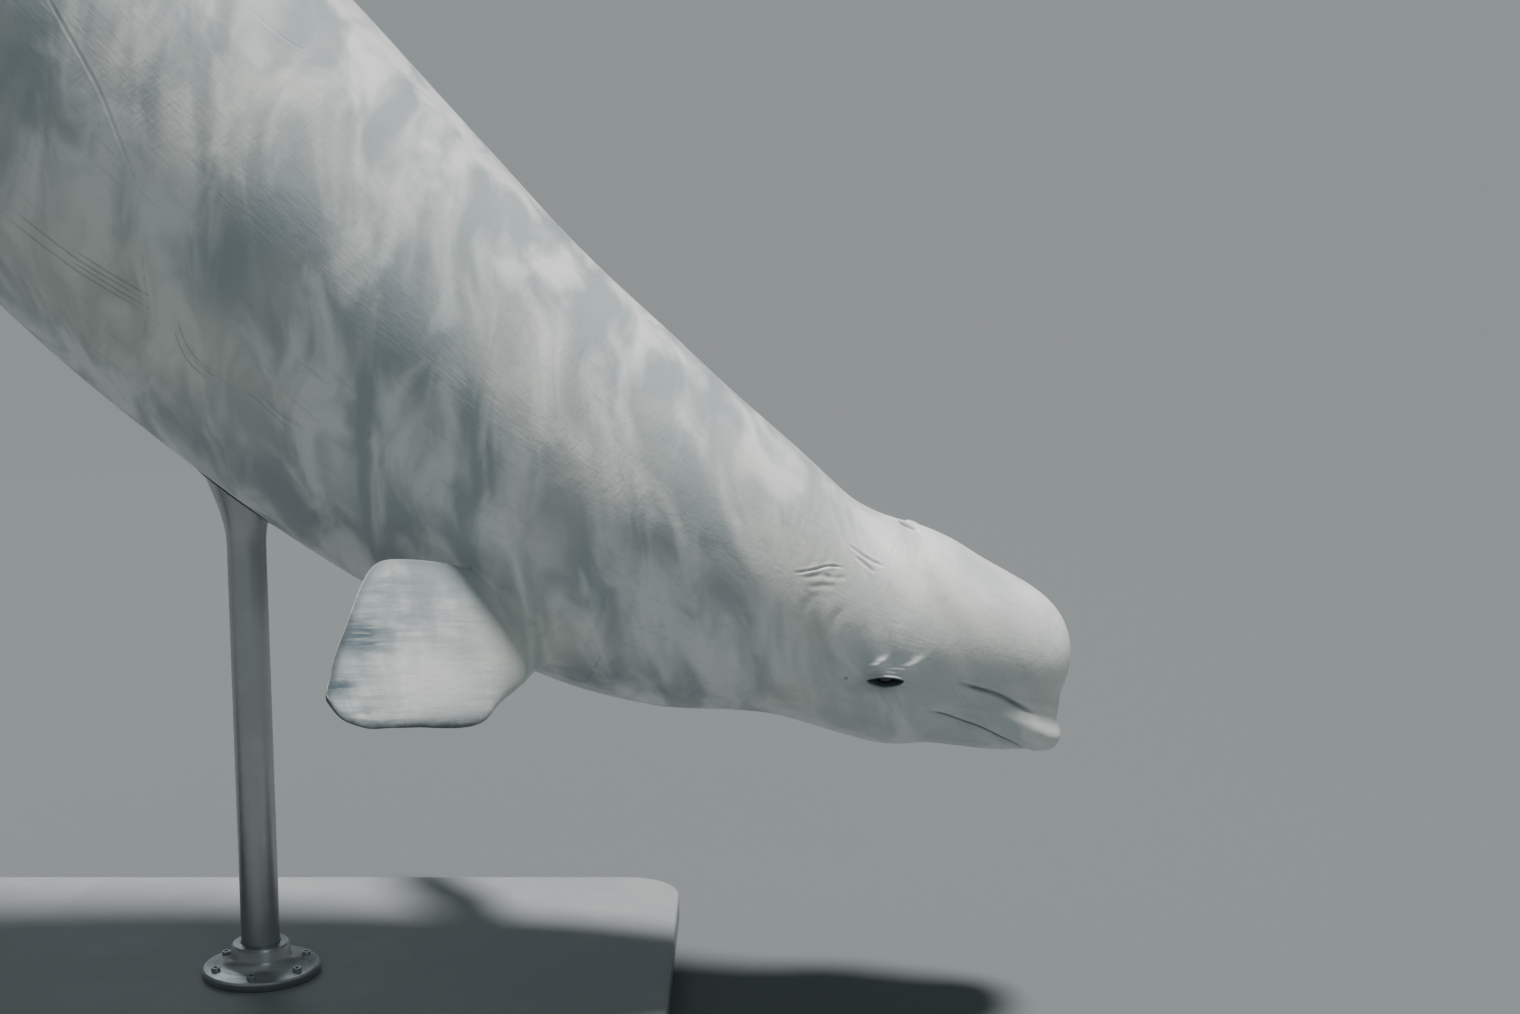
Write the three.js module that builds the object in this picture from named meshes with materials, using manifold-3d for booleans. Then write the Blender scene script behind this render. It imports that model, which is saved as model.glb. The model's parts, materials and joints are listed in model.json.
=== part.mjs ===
// A beluga whale at life size, as a still museum model on a plain display stand, in millimetres.
// The whale noses down towards +X with its right side on -Y and its back up, +Z.
// The origin is the centre of the base's underside.
//
// The body is first described straight: s runs back from the tip of the snout, y is to the left
// and w is up from the body's axis. The spine then bends it in the upright plane.

import * as THREE from "three";
import { mergeVertices } from "three/addons/utils/BufferGeometryUtils.js";
import Module from "manifold-3d";

const wasm = await Module();
wasm.setup();

const radians = THREE.MathUtils.degToRad;
const { clamp, lerp, smoothstep } = THREE.MathUtils;

// Driving sizes of the animal
const GAP = 0.3; // between nodes that touch
const SNOUT = { x: 1571, z: 505 }; // where the axis starts, above the base's underside

// The spine's dip below the horizontal, in degrees, against s
const DIP = [
  [0, 19.5],
  [330, 18.6],
  [450, 24],
  [600, 25],
  [800, 33.2],
  [1050, 39.4],
  [1400, 43.6],
  [1800, 45.8],
  [2300, 38],
  [2900, 27],
  [3500, 19],
  [4200, 16],
];

// The trunk's reach from its axis to the back, the belly and the side, and how round its section
// is (2 is an ellipse, less is keeled), against s
const TRUNK = [
  [300, 146, 150, 150, 2.1],
  [431, 181.5, 177.5, 168, 2.1],
  [560, 223, 228, 205, 2.1],
  [700, 258, 259.5, 252, 2.1],
  [1012, 296, 302.5, 305, 2.15],
  [1351, 328.5, 332, 344, 2.2],
  [1700, 346, 344, 362, 2.2],
  [2050, 352, 346, 360, 2.15],
  [2450, 330, 324, 326, 2.05],
  [2850, 276, 274, 258, 1.95],
  [3250, 206, 208, 176, 1.85],
  [3550, 150, 152, 112, 1.75],
  [3780, 100, 102, 66, 1.7],
  [3920, 58, 60, 40, 1.75],
  [4045, 16, 16, 14, 2],
];
const TRUNK_CAP = 150; // how far the trunk's rounded end runs ahead of its first section
const TAIL_END = 4040;

// The head's rounded forms: centre s and w, reach along s, y and w, roundness, tilt in degrees
// (above 0 the rear end is lower), and how softly each melts into the others
const CRANIUM = { s: 288.6, w: 12.2, reach: [209.6, 143.6, 161.9], round: 2, tilt: 0, melt: 60 };
const MELON = { s: 131.4, w: 16.1, reach: [120.4, 109.4, 122.3], round: 2.1, tilt: 0, melt: 50 };
const MUZZLE = { s: 91, w: -43, reach: [84.6, 92, 43.7], round: 2.2, tilt: -0.2, melt: 30 };
const UPPER_LIP = { s: 126.7, w: -53.5, reach: [139.3, 108, 35.2], round: 2.7, tilt: -9.3, melt: 22 };
const LOWER_JAW = { s: 147, w: -88.3, reach: [150.2, 94, 41.5], round: 2.3, tilt: 8.7, melt: 14 };
const FAN_AT = 200; // the sections ahead of here fan round this point of the axis

// The mouth's line, [s, w], from the corner to where it leaves under the snout, and its gape
const MOUTH = [
  [216, -70],
  [206, -69],
  [165, -74],
  [130, -77],
  [92, -84],
  [66, -89],
  [45, -96],
  [28, -99],
  [10, -107],
];
const GAPE = 3;

// The crease over the upper lip, [s, w], and its groove's radius
const CREASE = [
  [190, -12],
  [169, -15.5],
  [144, -17],
  [118, -19.5],
  [93, -25.5],
  [66, -31.5],
  [46, -35],
];
const CREASE_RADIUS = 3.2;

// Eyes, ears and blowhole; the slit between the lids tilts its rear corner down, in degrees
const EYE = { s: 295, below: 13, radius: 20, sunk: 23, slitLong: 46, slitHigh: 14, tilt: 17 };
const LID = { long: 42, high: 27, proud: 3.5, deep: 16 };
const EAR = { s: 350, below: 19, radius: 2.5, depth: 10 };
const BLOWHOLE = { s: 336, halfWidth: 36, bend: 27, slit: 11, depth: 26 };

// The low ridge that a beluga has in place of a back fin
const RIDGE = { from: 1960, to: 2700, height: 18, half: 34 };

// A flipper: where it leaves the trunk, its turn out from the tail's way, its rise, and its roll,
// which brings the leading edge down, in degrees
const FLIPPER = { s: 788, below: 39, turnOut: 55, rise: 9, roll: 70 };
// Its outline: out along the span, then the reach to the leading and the trailing edge, and the
// thickness
const FLIPPER_OUTLINE = [
  [-120, 18, -42, 60],
  [-40, 42, -54, 56],
  [15, 77, -68, 50],
  [60, 99, -80, 45],
  [95, 116, -87, 41],
  [125, 133, -92, 37],
  [170, 141, -97, 32],
  [240, 138, -99, 26],
  [290, 136, -90, 22],
  [330, 135, -55, 19],
  [369, 134, -5, 16],
  [400, 127, 33, 13],
  [422, 116, 68, 10],
  [436, 99, 87, 7],
];
// How far a flipper's tip and its leading edge turn up, and how far in from the edge that fades
const CURL = { tip: 15, edge: 8, fade: 22 };

// One half of the flukes: out from the middle, its front and rear edge along s, its thickness
const FLUKE_OUTLINE = [
  [GAP / 2, 3722, 4088, 66],
  [55, 3800, 4132, 60],
  [130, 3860, 4176, 48],
  [230, 3914, 4200, 36],
  [330, 3972, 4197, 26],
  [420, 4032, 4174, 18],
  [478, 4084, 4150, 13],
  [502, 4118, 4134, 8],
];
const FLUKE_DROOP = 34;

// The stand
const BASE = { length: 1900, width: 960, thick: 45, corner: 110, bevel: 6 };
const ROD = { radius: 30, x: { front: 300, rear: -500 }, cup: 78, flare: 190 };
const FOOT = { radius: 92, rim: 14, neck: 46, height: 52 };

// Where the body is parted into nodes
const PARTS = { neck: 431, chest: 690, trunk: 1600, tail: 2750 };

// A smooth curve through the points of a table, as a function of its first column
function curveThrough(rows, column) {
  const n = rows.length;
  const x = rows.map((row) => row[0]);
  const v = rows.map((row) => row[column]);
  const bend = new Array(n).fill(0);
  const upper = new Array(n).fill(0);
  const right = new Array(n).fill(0);
  for (let i = 1; i < n - 1; i++) {
    const before = x[i] - x[i - 1];
    const after = x[i + 1] - x[i];
    const turn = 6 * ((v[i + 1] - v[i]) / after - (v[i] - v[i - 1]) / before);
    const pivot = 2 * (before + after) - before * upper[i - 1];
    upper[i] = after / pivot;
    right[i] = (turn - before * right[i - 1]) / pivot;
  }
  for (let i = n - 2; i > 0; i--) bend[i] = right[i] - upper[i] * bend[i + 1];
  return (at) => {
    const here = clamp(at, x[0], x[n - 1]);
    let i = 0;
    while (i < n - 2 && here > x[i + 1]) i++;
    const h = x[i + 1] - x[i];
    const b = (here - x[i]) / h;
    const a = 1 - b;
    const curve = (a ** 3 - a) * bend[i] + (b ** 3 - b) * bend[i + 1];
    return a * v[i] + b * v[i + 1] + (curve * h * h) / 6;
  };
}

const dipAt = curveThrough(DIP, 1);
const trunkAt = [1, 2, 3, 4].map((column) => curveThrough(TRUNK, column));

// The spine's points, every SPINE_STEP from the snout back
const SPINE_STEP = 5;
const spine = [new THREE.Vector3(SNOUT.x, 0, SNOUT.z)];
for (let s = 0; s < DIP.at(-1)[0] + 200; s += SPINE_STEP) {
  const dip = radians(dipAt(s + SPINE_STEP / 2));
  const back = new THREE.Vector3(-Math.cos(dip), 0, Math.sin(dip));
  spine.push(spine.at(-1).clone().addScaledVector(back, SPINE_STEP));
}

// A point of the straight body, placed on the bent spine
function place(s, y, w) {
  const dip = radians(dipAt(s));
  const step = clamp(Math.floor(s / SPINE_STEP), 0, spine.length - 2);
  const point = spine[step].clone().lerp(spine[step + 1], s / SPINE_STEP - step);
  return point.add(new THREE.Vector3(w * Math.sin(dip), y, w * Math.cos(dip)));
}

// How far a point is outside a rounded form, measured from the form's centre
function outside(along, across, up, reach, round) {
  const share =
    (Math.abs(along / reach[0]) ** round +
      Math.abs(across / reach[1]) ** round +
      Math.abs(up / reach[2]) ** round) **
    (1 / round);
  const far = Math.hypot(along, across, up);
  return share < 1e-6 ? -Math.min(...reach) : far * (1 - 1 / share);
}

function outsideForm(form, s, y, w) {
  const tilt = radians(form.tilt);
  const along = (s - form.s) * Math.cos(tilt) - (w - form.w) * Math.sin(tilt);
  const up = (s - form.s) * Math.sin(tilt) + (w - form.w) * Math.cos(tilt);
  return outside(along, y, up, form.reach, form.round);
}

function outsideTrunk(s, y, w) {
  const first = TRUNK[0][0];
  const [back, belly, side, round] = trunkAt.map((at) => at(s));
  const reach = [TRUNK_CAP, side, w > 0 ? back : belly];
  return outside(Math.max(first - s, 0), y, w, reach, round);
}

// Two distances joined with a soft valley between the forms
function melted(a, b, melt) {
  const share = Math.max(melt - Math.abs(a - b), 0) / melt;
  return Math.min(a, b) - (share * share * melt) / 4;
}

function ridgeHeight(s, y) {
  const rise = smoothstep(s, RIDGE.from, RIDGE.from + 220);
  const fall = 1 - smoothstep(s, RIDGE.to - 260, RIDGE.to);
  return RIDGE.height * rise * fall * Math.exp(-((y / RIDGE.half) ** 2));
}

// The whale's body without fins: negative inside
function outsideBody(s, y, w) {
  let d = outsideTrunk(s, y, w);
  if (s < 620) {
    for (const form of [CRANIUM, MELON, MUZZLE, UPPER_LIP, LOWER_JAW])
      d = melted(d, outsideForm(form, s, y, w), form.melt);
  }
  return w > 0 ? d - ridgeHeight(s, y) : d;
}

// The body's reach along a ray from the axis
function reachOf(pointAt) {
  let inner = 0;
  let outer = 600;
  for (let i = 0; i < 40; i++) {
    const middle = (inner + outer) / 2;
    if (outsideBody(...pointAt(middle)) < 0) inner = middle;
    else outer = middle;
  }
  return inner;
}

// One ring of body points. Ahead of FAN_AT, turn is the ray's angle from straight ahead.
function bodyRing({ s, turn = Math.PI / 2 }, around, grow) {
  const ring = [];
  for (let i = 0; i < around; i++) {
    const angle = (2 * Math.PI * i) / around - Math.PI / 2;
    const pointAt = (r) => [
      s - r * Math.cos(turn),
      -r * Math.sin(turn) * Math.cos(angle),
      r * Math.sin(turn) * Math.sin(angle),
    ];
    ring.push(place(...pointAt(reachOf(pointAt) + grow)));
  }
  return ring;
}

// A closed solid from rings of points, each end drawn to a point
function loft(rings, start, end) {
  const around = rings[0].length;
  const points = [start, ...rings.flat(), end];
  const last = points.length - 1;
  const triangles = [];
  for (let i = 0; i < around; i++) {
    const next = (i + 1) % around;
    triangles.push(0, 1 + next, 1 + i);
    for (let k = 0; k < rings.length - 1; k++) {
      const here = 1 + k * around;
      const there = here + around;
      triangles.push(here + i, here + next, there + next);
      triangles.push(here + i, there + next, there + i);
    }
    triangles.push(last, last - around + i, last - around + next);
  }
  const geometry = new THREE.BufferGeometry().setFromPoints(points);
  geometry.setIndex(triangles);
  return geometry;
}

function solidOf(geometry) {
  const bare = geometry.index ? geometry.clone() : geometry;
  bare.deleteAttribute("normal");
  bare.deleteAttribute("uv");
  const merged = mergeVertices(bare, 1e-3);
  const solid = new wasm.Manifold(
    new wasm.Mesh({
      numProp: 3,
      vertProperties: merged.attributes.position.array,
      triVerts: new Uint32Array(merged.index.array),
    }),
  );
  if (solid.volume() > 0) return solid;
  const flipped = new Uint32Array(merged.index.array);
  for (let i = 0; i < flipped.length; i += 3) [flipped[i], flipped[i + 1]] = [flipped[i + 1], flipped[i]];
  return new wasm.Manifold(
    new wasm.Mesh({ numProp: 3, vertProperties: merged.attributes.position.array, triVerts: flipped }),
  );
}

// The largest closed piece of a solid
function largest(solid) {
  return solid.decompose().sort((a, b) => b.volume() - a.volume())[0];
}

function geometryOf(solid) {
  const mesh = solid.getMesh();
  const points = new Float32Array(mesh.numVert * 3);
  for (let i = 0; i < mesh.numVert; i++)
    points.set(mesh.vertProperties.subarray(i * mesh.numProp, i * mesh.numProp + 3), i * 3);
  return new THREE.BufferGeometry()
    .setAttribute("position", new THREE.BufferAttribute(points, 3))
    .setIndex(new THREE.BufferAttribute(mesh.triVerts, 1));
}

// Places along the body from one s to another
function stations(from, to, count) {
  return Array.from({ length: count + 1 }, (_, i) => ({ s: lerp(from, to, i / count) }));
}

function bodyLength(from, to, count, around, grow = 0) {
  const rings = stations(from, to, count).map((at) => bodyRing(at, around, grow));
  return loft(rings, place(from, 0, 0), place(to, 0, 0));
}

// The head, whose front sections fan round one point of the axis
function headShell(to, fan, count, around, grow = 0) {
  const front = [];
  for (let i = 1; i < fan; i++) front.push({ s: FAN_AT, turn: (Math.PI / 2) * (i / fan) });
  const rings = [...front, ...stations(FAN_AT, to, count)].map((at) => bodyRing(at, around, grow));
  const pointAt = (r) => [FAN_AT - r, 0, 0];
  const tip = place(...pointAt(reachOf(pointAt) + grow));
  return loft(rings, tip, place(to, 0, 0));
}

// A number of values read smoothly down a table, at a share of its length
function rowAt(rows, share) {
  const numbered = rows.map((row, i) => [i, ...row]);
  return rows[0].map((_, column) => curveThrough(numbered, column + 1)(share * (rows.length - 1)));
}

// The outline of a fin's section, thickest near its leading edge: a share from the leading edge
// (1) to the trailing edge (-1), and a height of up to 1 either side
function finSection(around) {
  return Array.from({ length: around }, (_, i) => {
    const angle = (2 * Math.PI * i) / around;
    const along = Math.cos(angle);
    return { along, height: Math.sin(angle) * (0.78 + 0.3 * along) };
  });
}

const centreOf = (ring) =>
  ring.reduce((sum, p) => sum.add(p), new THREE.Vector3()).divideScalar(ring.length);

// The right flipper's own axes: out along it, across to its leading edge, and up through it
function flipperAxes() {
  const turn = radians(FLIPPER.turnOut);
  const rise = radians(FLIPPER.rise);
  const level = Math.cos(rise);
  const out = new THREE.Vector3(-level * Math.cos(turn), -level * Math.sin(turn), Math.sin(rise));
  const across = new THREE.Vector3(0, 0, 1).cross(out).normalize();
  across.applyAxisAngle(out, -radians(FLIPPER.roll));
  return { out, across, up: new THREE.Vector3().crossVectors(out, across) };
}

// A point of the body's surface, some degrees below its side, and as far in as asked
function surfacePoint(s, below, inwards = 0, side = -1) {
  const angle = -radians(below);
  const pointAt = (r) => [s, side * r * Math.cos(angle), r * Math.sin(angle)];
  return place(...pointAt(reachOf(pointAt) - inwards));
}

function flipperShell(steps, around) {
  const { out, across, up } = flipperAxes();
  const root = surfacePoint(FLIPPER.s, FLIPPER.below);
  const length = FLIPPER_OUTLINE.at(-1)[0];
  const rings = [];
  for (let i = 0; i <= steps; i++) {
    const [span, leading, trailing, thick] = rowAt(FLIPPER_OUTLINE, i / steps);
    const share = Math.max(span / length, 0);
    const ring = finSection(around).map(({ along, height }) => {
      const v = (leading + trailing) / 2 + (along * (leading - trailing)) / 2;
      const inward = ((1 - along) * (leading - trailing)) / 2;
      const curl = CURL.tip * share ** 3 + CURL.edge * share * Math.exp(-inward / CURL.fade);
      return root
        .clone()
        .addScaledVector(out, span)
        .addScaledVector(across, v)
        .addScaledVector(up, (thick / 2) * height + curl);
    });
    rings.push(ring);
  }
  return loft(rings, centreOf(rings[0]), centreOf(rings.at(-1)).addScaledVector(out, 2));
}

function flukeShell(steps, around) {
  const rings = [];
  for (let i = 0; i <= steps; i++) {
    const [y, front, rear, thick] = rowAt(FLUKE_OUTLINE, i / steps);
    const droop = FLUKE_DROOP * (y / FLUKE_OUTLINE.at(-1)[0]) ** 2;
    const ring = finSection(around).map(({ along, height }) => {
      const s = (front + rear) / 2 - (along * (rear - front)) / 2;
      return place(s, -y, (thick / 2) * height - droop);
    });
    rings.push(ring);
  }
  const tip = centreOf(rings.at(-1)).add(new THREE.Vector3(0, -3, 0));
  return loft(rings, centreOf(rings[0]), tip);
}

// A geometry drawn as (s, y, w), bent with the spine
function bent(geometry) {
  const at = geometry.attributes.position;
  const point = new THREE.Vector3();
  for (let i = 0; i < at.count; i++) {
    point.fromBufferAttribute(at, i);
    at.setXYZ(i, ...place(point.x, point.y, point.z));
  }
  return geometry;
}

// The slit between the lips, right across the head
function mouthSlit() {
  const outline = [
    ...MOUTH.map(([s, w], i) => new THREE.Vector2(s, w + (GAPE / 2) * Math.min(i, 1))),
    ...MOUTH.slice(1)
      .reverse()
      .map(([s, w]) => new THREE.Vector2(s, w - GAPE / 2)),
  ];
  const slab = new THREE.ExtrudeGeometry(new THREE.Shape(outline), { depth: 320, bevelEnabled: false });
  return bent(slab.rotateX(Math.PI / 2).translate(0, 160, 0));
}

// The crease's groove on one side: round cuts joined in a chain, thin at both ends
function creaseGroove(side) {
  const cuts = CREASE.map(([s, w], i) => {
    const pointAt = (r) => [s, side * r, w];
    const share = i / (CREASE.length - 1);
    const radius = CREASE_RADIUS * (0.35 + 1.3 * Math.sin(Math.PI * share) ** 0.7 * 0.5);
    const ball = wasm.Manifold.sphere(radius, 8);
    return ball.translate(...place(...pointAt(reachOf(pointAt) + radius * 0.2)));
  });
  const links = cuts.slice(1).map((cut, i) => wasm.Manifold.hull([cuts[i], cut]));
  return wasm.Manifold.union(links);
}

// The blowhole's crescent, its horns forward
function blowholeSlit() {
  const { s, halfWidth, bend, slit, depth } = BLOWHOLE;
  const crescent = new THREE.Shape();
  crescent.moveTo(s - bend, -halfWidth);
  crescent.quadraticCurveTo(s + bend + slit / 2, 0, s - bend, halfWidth);
  crescent.quadraticCurveTo(s + bend - slit * 1.5, 0, s - bend, -halfWidth);
  const top = reachOf((r) => [s, 0, r]);
  const geometry = new THREE.ExtrudeGeometry(crescent, {
    depth: depth + 20,
    bevelEnabled: false,
    curveSegments: 8,
  });
  return bent(geometry.translate(0, 0, top - depth));
}

// An eye's own axes, at the skin: back along the head, up over it and out
function eyeFrame(side) {
  const at = surfacePoint(EYE.s, EYE.below, 0, side);
  const deep = surfacePoint(EYE.s, EYE.below, EYE.sunk, side);
  const out = at.clone().sub(deep).normalize();
  const back = place(EYE.s + 10, 0, 0).sub(place(EYE.s, 0, 0)).normalize();
  const up = new THREE.Vector3().crossVectors(out, back).normalize();
  back.crossVectors(up, out).applyAxisAngle(out, -Math.sign(up.z) * radians(EYE.tilt));
  up.crossVectors(out, back);
  return { at, deep, turn: new THREE.Matrix4().makeBasis(back, up, out) };
}

function eyeBall(side, grow = 0) {
  const { deep, turn } = eyeFrame(side);
  return new THREE.SphereGeometry(EYE.radius + grow, 16, 12)
    .rotateX(Math.PI / 2)
    .applyMatrix4(turn)
    .translate(...deep);
}

// The almond opening between the lids
function lidSlit(side) {
  const { at, turn } = eyeFrame(side);
  const almond = new THREE.Shape();
  almond.moveTo(-EYE.slitLong / 2, 0);
  almond.quadraticCurveTo(0, EYE.slitHigh, EYE.slitLong / 2, 0);
  almond.quadraticCurveTo(0, -EYE.slitHigh, -EYE.slitLong / 2, 0);
  return new THREE.ExtrudeGeometry(almond, { depth: 40, bevelEnabled: false, curveSegments: 7 })
    .translate(0, 0, -15)
    .applyMatrix4(turn)
    .translate(...at);
}

// The low swelling that the lids make round the eye
function lidSwelling(side) {
  const { at, turn } = eyeFrame(side);
  return new THREE.SphereGeometry(1, 20, 10)
    .rotateX(Math.PI / 2)
    .scale(LID.long, LID.high, LID.deep)
    .translate(0, 0, LID.proud - LID.deep)
    .applyMatrix4(turn)
    .translate(...at);
}

function earHole(side) {
  const skinAt = surfacePoint(EAR.s, EAR.below, 0, side);
  const deep = surfacePoint(EAR.s, EAR.below, EAR.depth, side);
  const out = skinAt.clone().sub(deep).normalize();
  const geometry = new THREE.CylinderGeometry(EAR.radius, EAR.radius * 0.6, EAR.depth * 2, 10);
  geometry.applyQuaternion(new THREE.Quaternion().setFromUnitVectors(new THREE.Vector3(0, 1, 0), out));
  return geometry.translate(...skinAt);
}

// The stand's pieces
function basePlate() {
  const { length, width, thick, corner, bevel } = BASE;
  const x = length / 2 - bevel;
  const y = width / 2 - bevel;
  const outline = new THREE.Shape();
  outline.moveTo(-x + corner, -y);
  outline.lineTo(x - corner, -y);
  outline.quadraticCurveTo(x, -y, x, -y + corner);
  outline.lineTo(x, y - corner);
  outline.quadraticCurveTo(x, y, x - corner, y);
  outline.lineTo(-x + corner, y);
  outline.quadraticCurveTo(-x, y, -x, y - corner);
  outline.lineTo(-x, -y + corner);
  outline.quadraticCurveTo(-x, -y, -x + corner, -y);
  return new THREE.ExtrudeGeometry(outline, {
    depth: thick - 2 * bevel,
    bevelThickness: bevel,
    bevelSize: bevel,
    bevelSegments: 2,
    curveSegments: 8,
  }).translate(0, 0, bevel);
}

// A figure turned about the vertical, from its profile of [radius, height]
function turned(profile, sides) {
  const points = profile.map(([radius, height]) => new THREE.Vector2(radius, height));
  return new THREE.LatheGeometry(points, sides).rotateX(Math.PI / 2);
}

const cupFoot = (x) => spine.find((point) => point.x < x).z - ROD.flare - 330;

function rodShape(x) {
  const rod = [
    [0, BASE.thick + GAP],
    [ROD.radius, BASE.thick + GAP],
    [ROD.radius, cupFoot(x)],
    [0, cupFoot(x)],
  ];
  return turned(rod, 32).translate(x, 0, 0);
}

// The cup on a rod, which flares up to the belly it carries
function cupShape(x) {
  const low = cupFoot(x) + GAP;
  const cup = [
    [0, low],
    [ROD.radius, low],
    [ROD.radius + 7, low + 0.35 * ROD.flare],
    [ROD.cup - 12, low + 0.8 * ROD.flare],
    [ROD.cup, low + ROD.flare],
    [ROD.cup, low + ROD.flare + 330],
    [0, low + ROD.flare + 330],
  ];
  return turned(cup, 28).translate(x, 0, 0);
}

function footRing(x) {
  const inner = ROD.radius + GAP;
  const low = BASE.thick + GAP;
  return turned(
    [
      [inner, low],
      [FOOT.radius, low],
      [FOOT.radius, low + FOOT.rim],
      [FOOT.neck + 10, low + FOOT.rim + 8],
      [FOOT.neck, low + FOOT.height - 6],
      [FOOT.neck - 5, low + FOOT.height],
      [inner, low + FOOT.height],
      [inner, low],
    ],
    28,
  ).translate(x, 0, 0);
}

const finish = (color, roughness, metalness) =>
  new THREE.MeshStandardMaterial({ color, roughness, metalness });
const skin = finish(0xe3e8e6, 0.42, 0);
const eyeDark = finish(0x1d1512, 0.12, 0);
const plate = finish(0x6f7477, 0.6, 0);
const steel = finish(0xb9bdc0, 0.35, 1);

const whale = new THREE.Group();
function addNode(name, solid, material) {
  const mesh = new THREE.Mesh(geometryOf(largest(solid)), material);
  mesh.name = name;
  whale.add(mesh);
}

const mirrored = (geometry) => geometry.clone().scale(1, -1, 1);

let head = solidOf(headShell(PARTS.neck - GAP / 2, 15, 12, 56));
for (const side of [-1, 1]) head = head.add(solidOf(lidSwelling(side)));
head = head.subtract(solidOf(mouthSlit())).subtract(solidOf(blowholeSlit()));
for (const side of [-1, 1]) {
  for (const cut of [lidSlit(side), eyeBall(side, GAP), earHole(side)])
    head = head.subtract(solidOf(cut));
  head = head.subtract(creaseGroove(side));
}
addNode("head", head, skin);
addNode("eye_right", solidOf(eyeBall(-1)), eyeDark);
addNode("eye_left", solidOf(eyeBall(1)), eyeDark);

addNode("neck", solidOf(bodyLength(PARTS.neck + GAP / 2, PARTS.chest - GAP / 2, 7, 44)), skin);
addNode("chest", solidOf(bodyLength(PARTS.chest + GAP / 2, PARTS.trunk - GAP / 2, 12, 40)), skin);
addNode("trunk", solidOf(bodyLength(PARTS.trunk + GAP / 2, PARTS.tail - GAP / 2, 13, 40)), skin);
addNode("tail_stock", solidOf(bodyLength(PARTS.tail + GAP / 2, TAIL_END, 16, 32)), skin);

// The fins, cut clear of the body they meet
const chestRoom = solidOf(bodyLength(520, 1200, 14, 40, GAP * 2));
const tailRoom = solidOf(bodyLength(3500, TAIL_END + GAP, 14, 32, GAP * 2));
const flipper = flipperShell(17, 22);
const fluke = flukeShell(13, 22);
for (const [side, mirror] of [["right", (g) => g], ["left", mirrored]]) {
  addNode(`flipper_${side}`, solidOf(mirror(flipper)).subtract(chestRoom), skin);
  addNode(`fluke_${side}`, solidOf(mirror(fluke)).subtract(tailRoom), skin);
}

// The stand, its cups cut to the belly
addNode("stand_base", solidOf(basePlate()), plate);
const bellyRoom = solidOf(bodyLength(900, 3100, 44, 40, GAP * 2));
for (const [end, x] of Object.entries(ROD.x)) {
  addNode(`stand_rod_${end}`, solidOf(rodShape(x)), steel);
  addNode(`stand_cup_${end}`, solidOf(cupShape(x)).subtract(bellyRoom), steel);
  addNode(`stand_foot_${end}`, solidOf(footRing(x)), steel);
}

export default whale;
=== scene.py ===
"""A beluga whale at life size, as a still museum model on a plain display stand.

One skin covers the whale from its snout to its flukes. It is grown from the same sizes as the
solids: a straight body, whose places are s (back from the snout), y (to the left) and w (up from
the axis), all in millimetres, and a spine that bends it in the upright plane.
"""

import json
import logging
import math
from collections.abc import Callable, Sequence
from dataclasses import dataclass, field
from enum import Enum

import bmesh
import bpy
import numpy as np
from mathutils import Matrix, Vector

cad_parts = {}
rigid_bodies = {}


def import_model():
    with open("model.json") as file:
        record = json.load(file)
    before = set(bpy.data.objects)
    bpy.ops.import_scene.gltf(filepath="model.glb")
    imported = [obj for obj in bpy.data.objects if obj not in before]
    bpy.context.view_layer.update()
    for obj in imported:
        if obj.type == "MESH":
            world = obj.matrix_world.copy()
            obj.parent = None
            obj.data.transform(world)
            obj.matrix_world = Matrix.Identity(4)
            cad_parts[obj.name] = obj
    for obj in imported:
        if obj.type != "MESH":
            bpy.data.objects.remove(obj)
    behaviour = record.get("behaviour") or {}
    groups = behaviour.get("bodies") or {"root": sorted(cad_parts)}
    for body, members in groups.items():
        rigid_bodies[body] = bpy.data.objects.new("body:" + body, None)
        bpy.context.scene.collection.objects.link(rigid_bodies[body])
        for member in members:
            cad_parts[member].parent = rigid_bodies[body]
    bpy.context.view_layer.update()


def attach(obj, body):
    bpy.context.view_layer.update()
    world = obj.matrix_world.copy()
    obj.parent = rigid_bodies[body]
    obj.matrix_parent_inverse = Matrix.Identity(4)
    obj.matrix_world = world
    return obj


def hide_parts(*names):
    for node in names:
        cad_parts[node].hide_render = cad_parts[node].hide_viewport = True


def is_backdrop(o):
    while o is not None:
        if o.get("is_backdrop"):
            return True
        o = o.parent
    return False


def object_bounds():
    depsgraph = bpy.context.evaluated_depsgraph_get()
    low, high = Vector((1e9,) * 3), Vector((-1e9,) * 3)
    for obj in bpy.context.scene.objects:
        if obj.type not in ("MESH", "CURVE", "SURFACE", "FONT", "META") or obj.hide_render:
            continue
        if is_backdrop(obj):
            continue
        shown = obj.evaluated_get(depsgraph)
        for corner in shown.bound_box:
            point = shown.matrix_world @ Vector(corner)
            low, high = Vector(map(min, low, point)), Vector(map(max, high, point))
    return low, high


LOG = logging.getLogger("beluga")
MM = 0.001
# Where the flipper's root lies in the skin's grain, apart from the body's own places.
FIN_GRAIN = (900.0, 0.0, 2000.0)
# Further than the skin is from any place on the body's axis, in millimetres.
REACH = 600.0
Rows = Sequence[Sequence[float]]
Places = tuple[tuple[float, float], ...]
Triple = tuple[float, float, float]
Colour = Triple
Heights = Callable[[float, float], float]
Socket = bpy.types.NodeSocket
Feed = Socket | tuple[float, ...] | float


class Side(Enum):
    """A side of the whale, with its sign along y."""

    RIGHT = -1
    LEFT = 1


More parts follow.
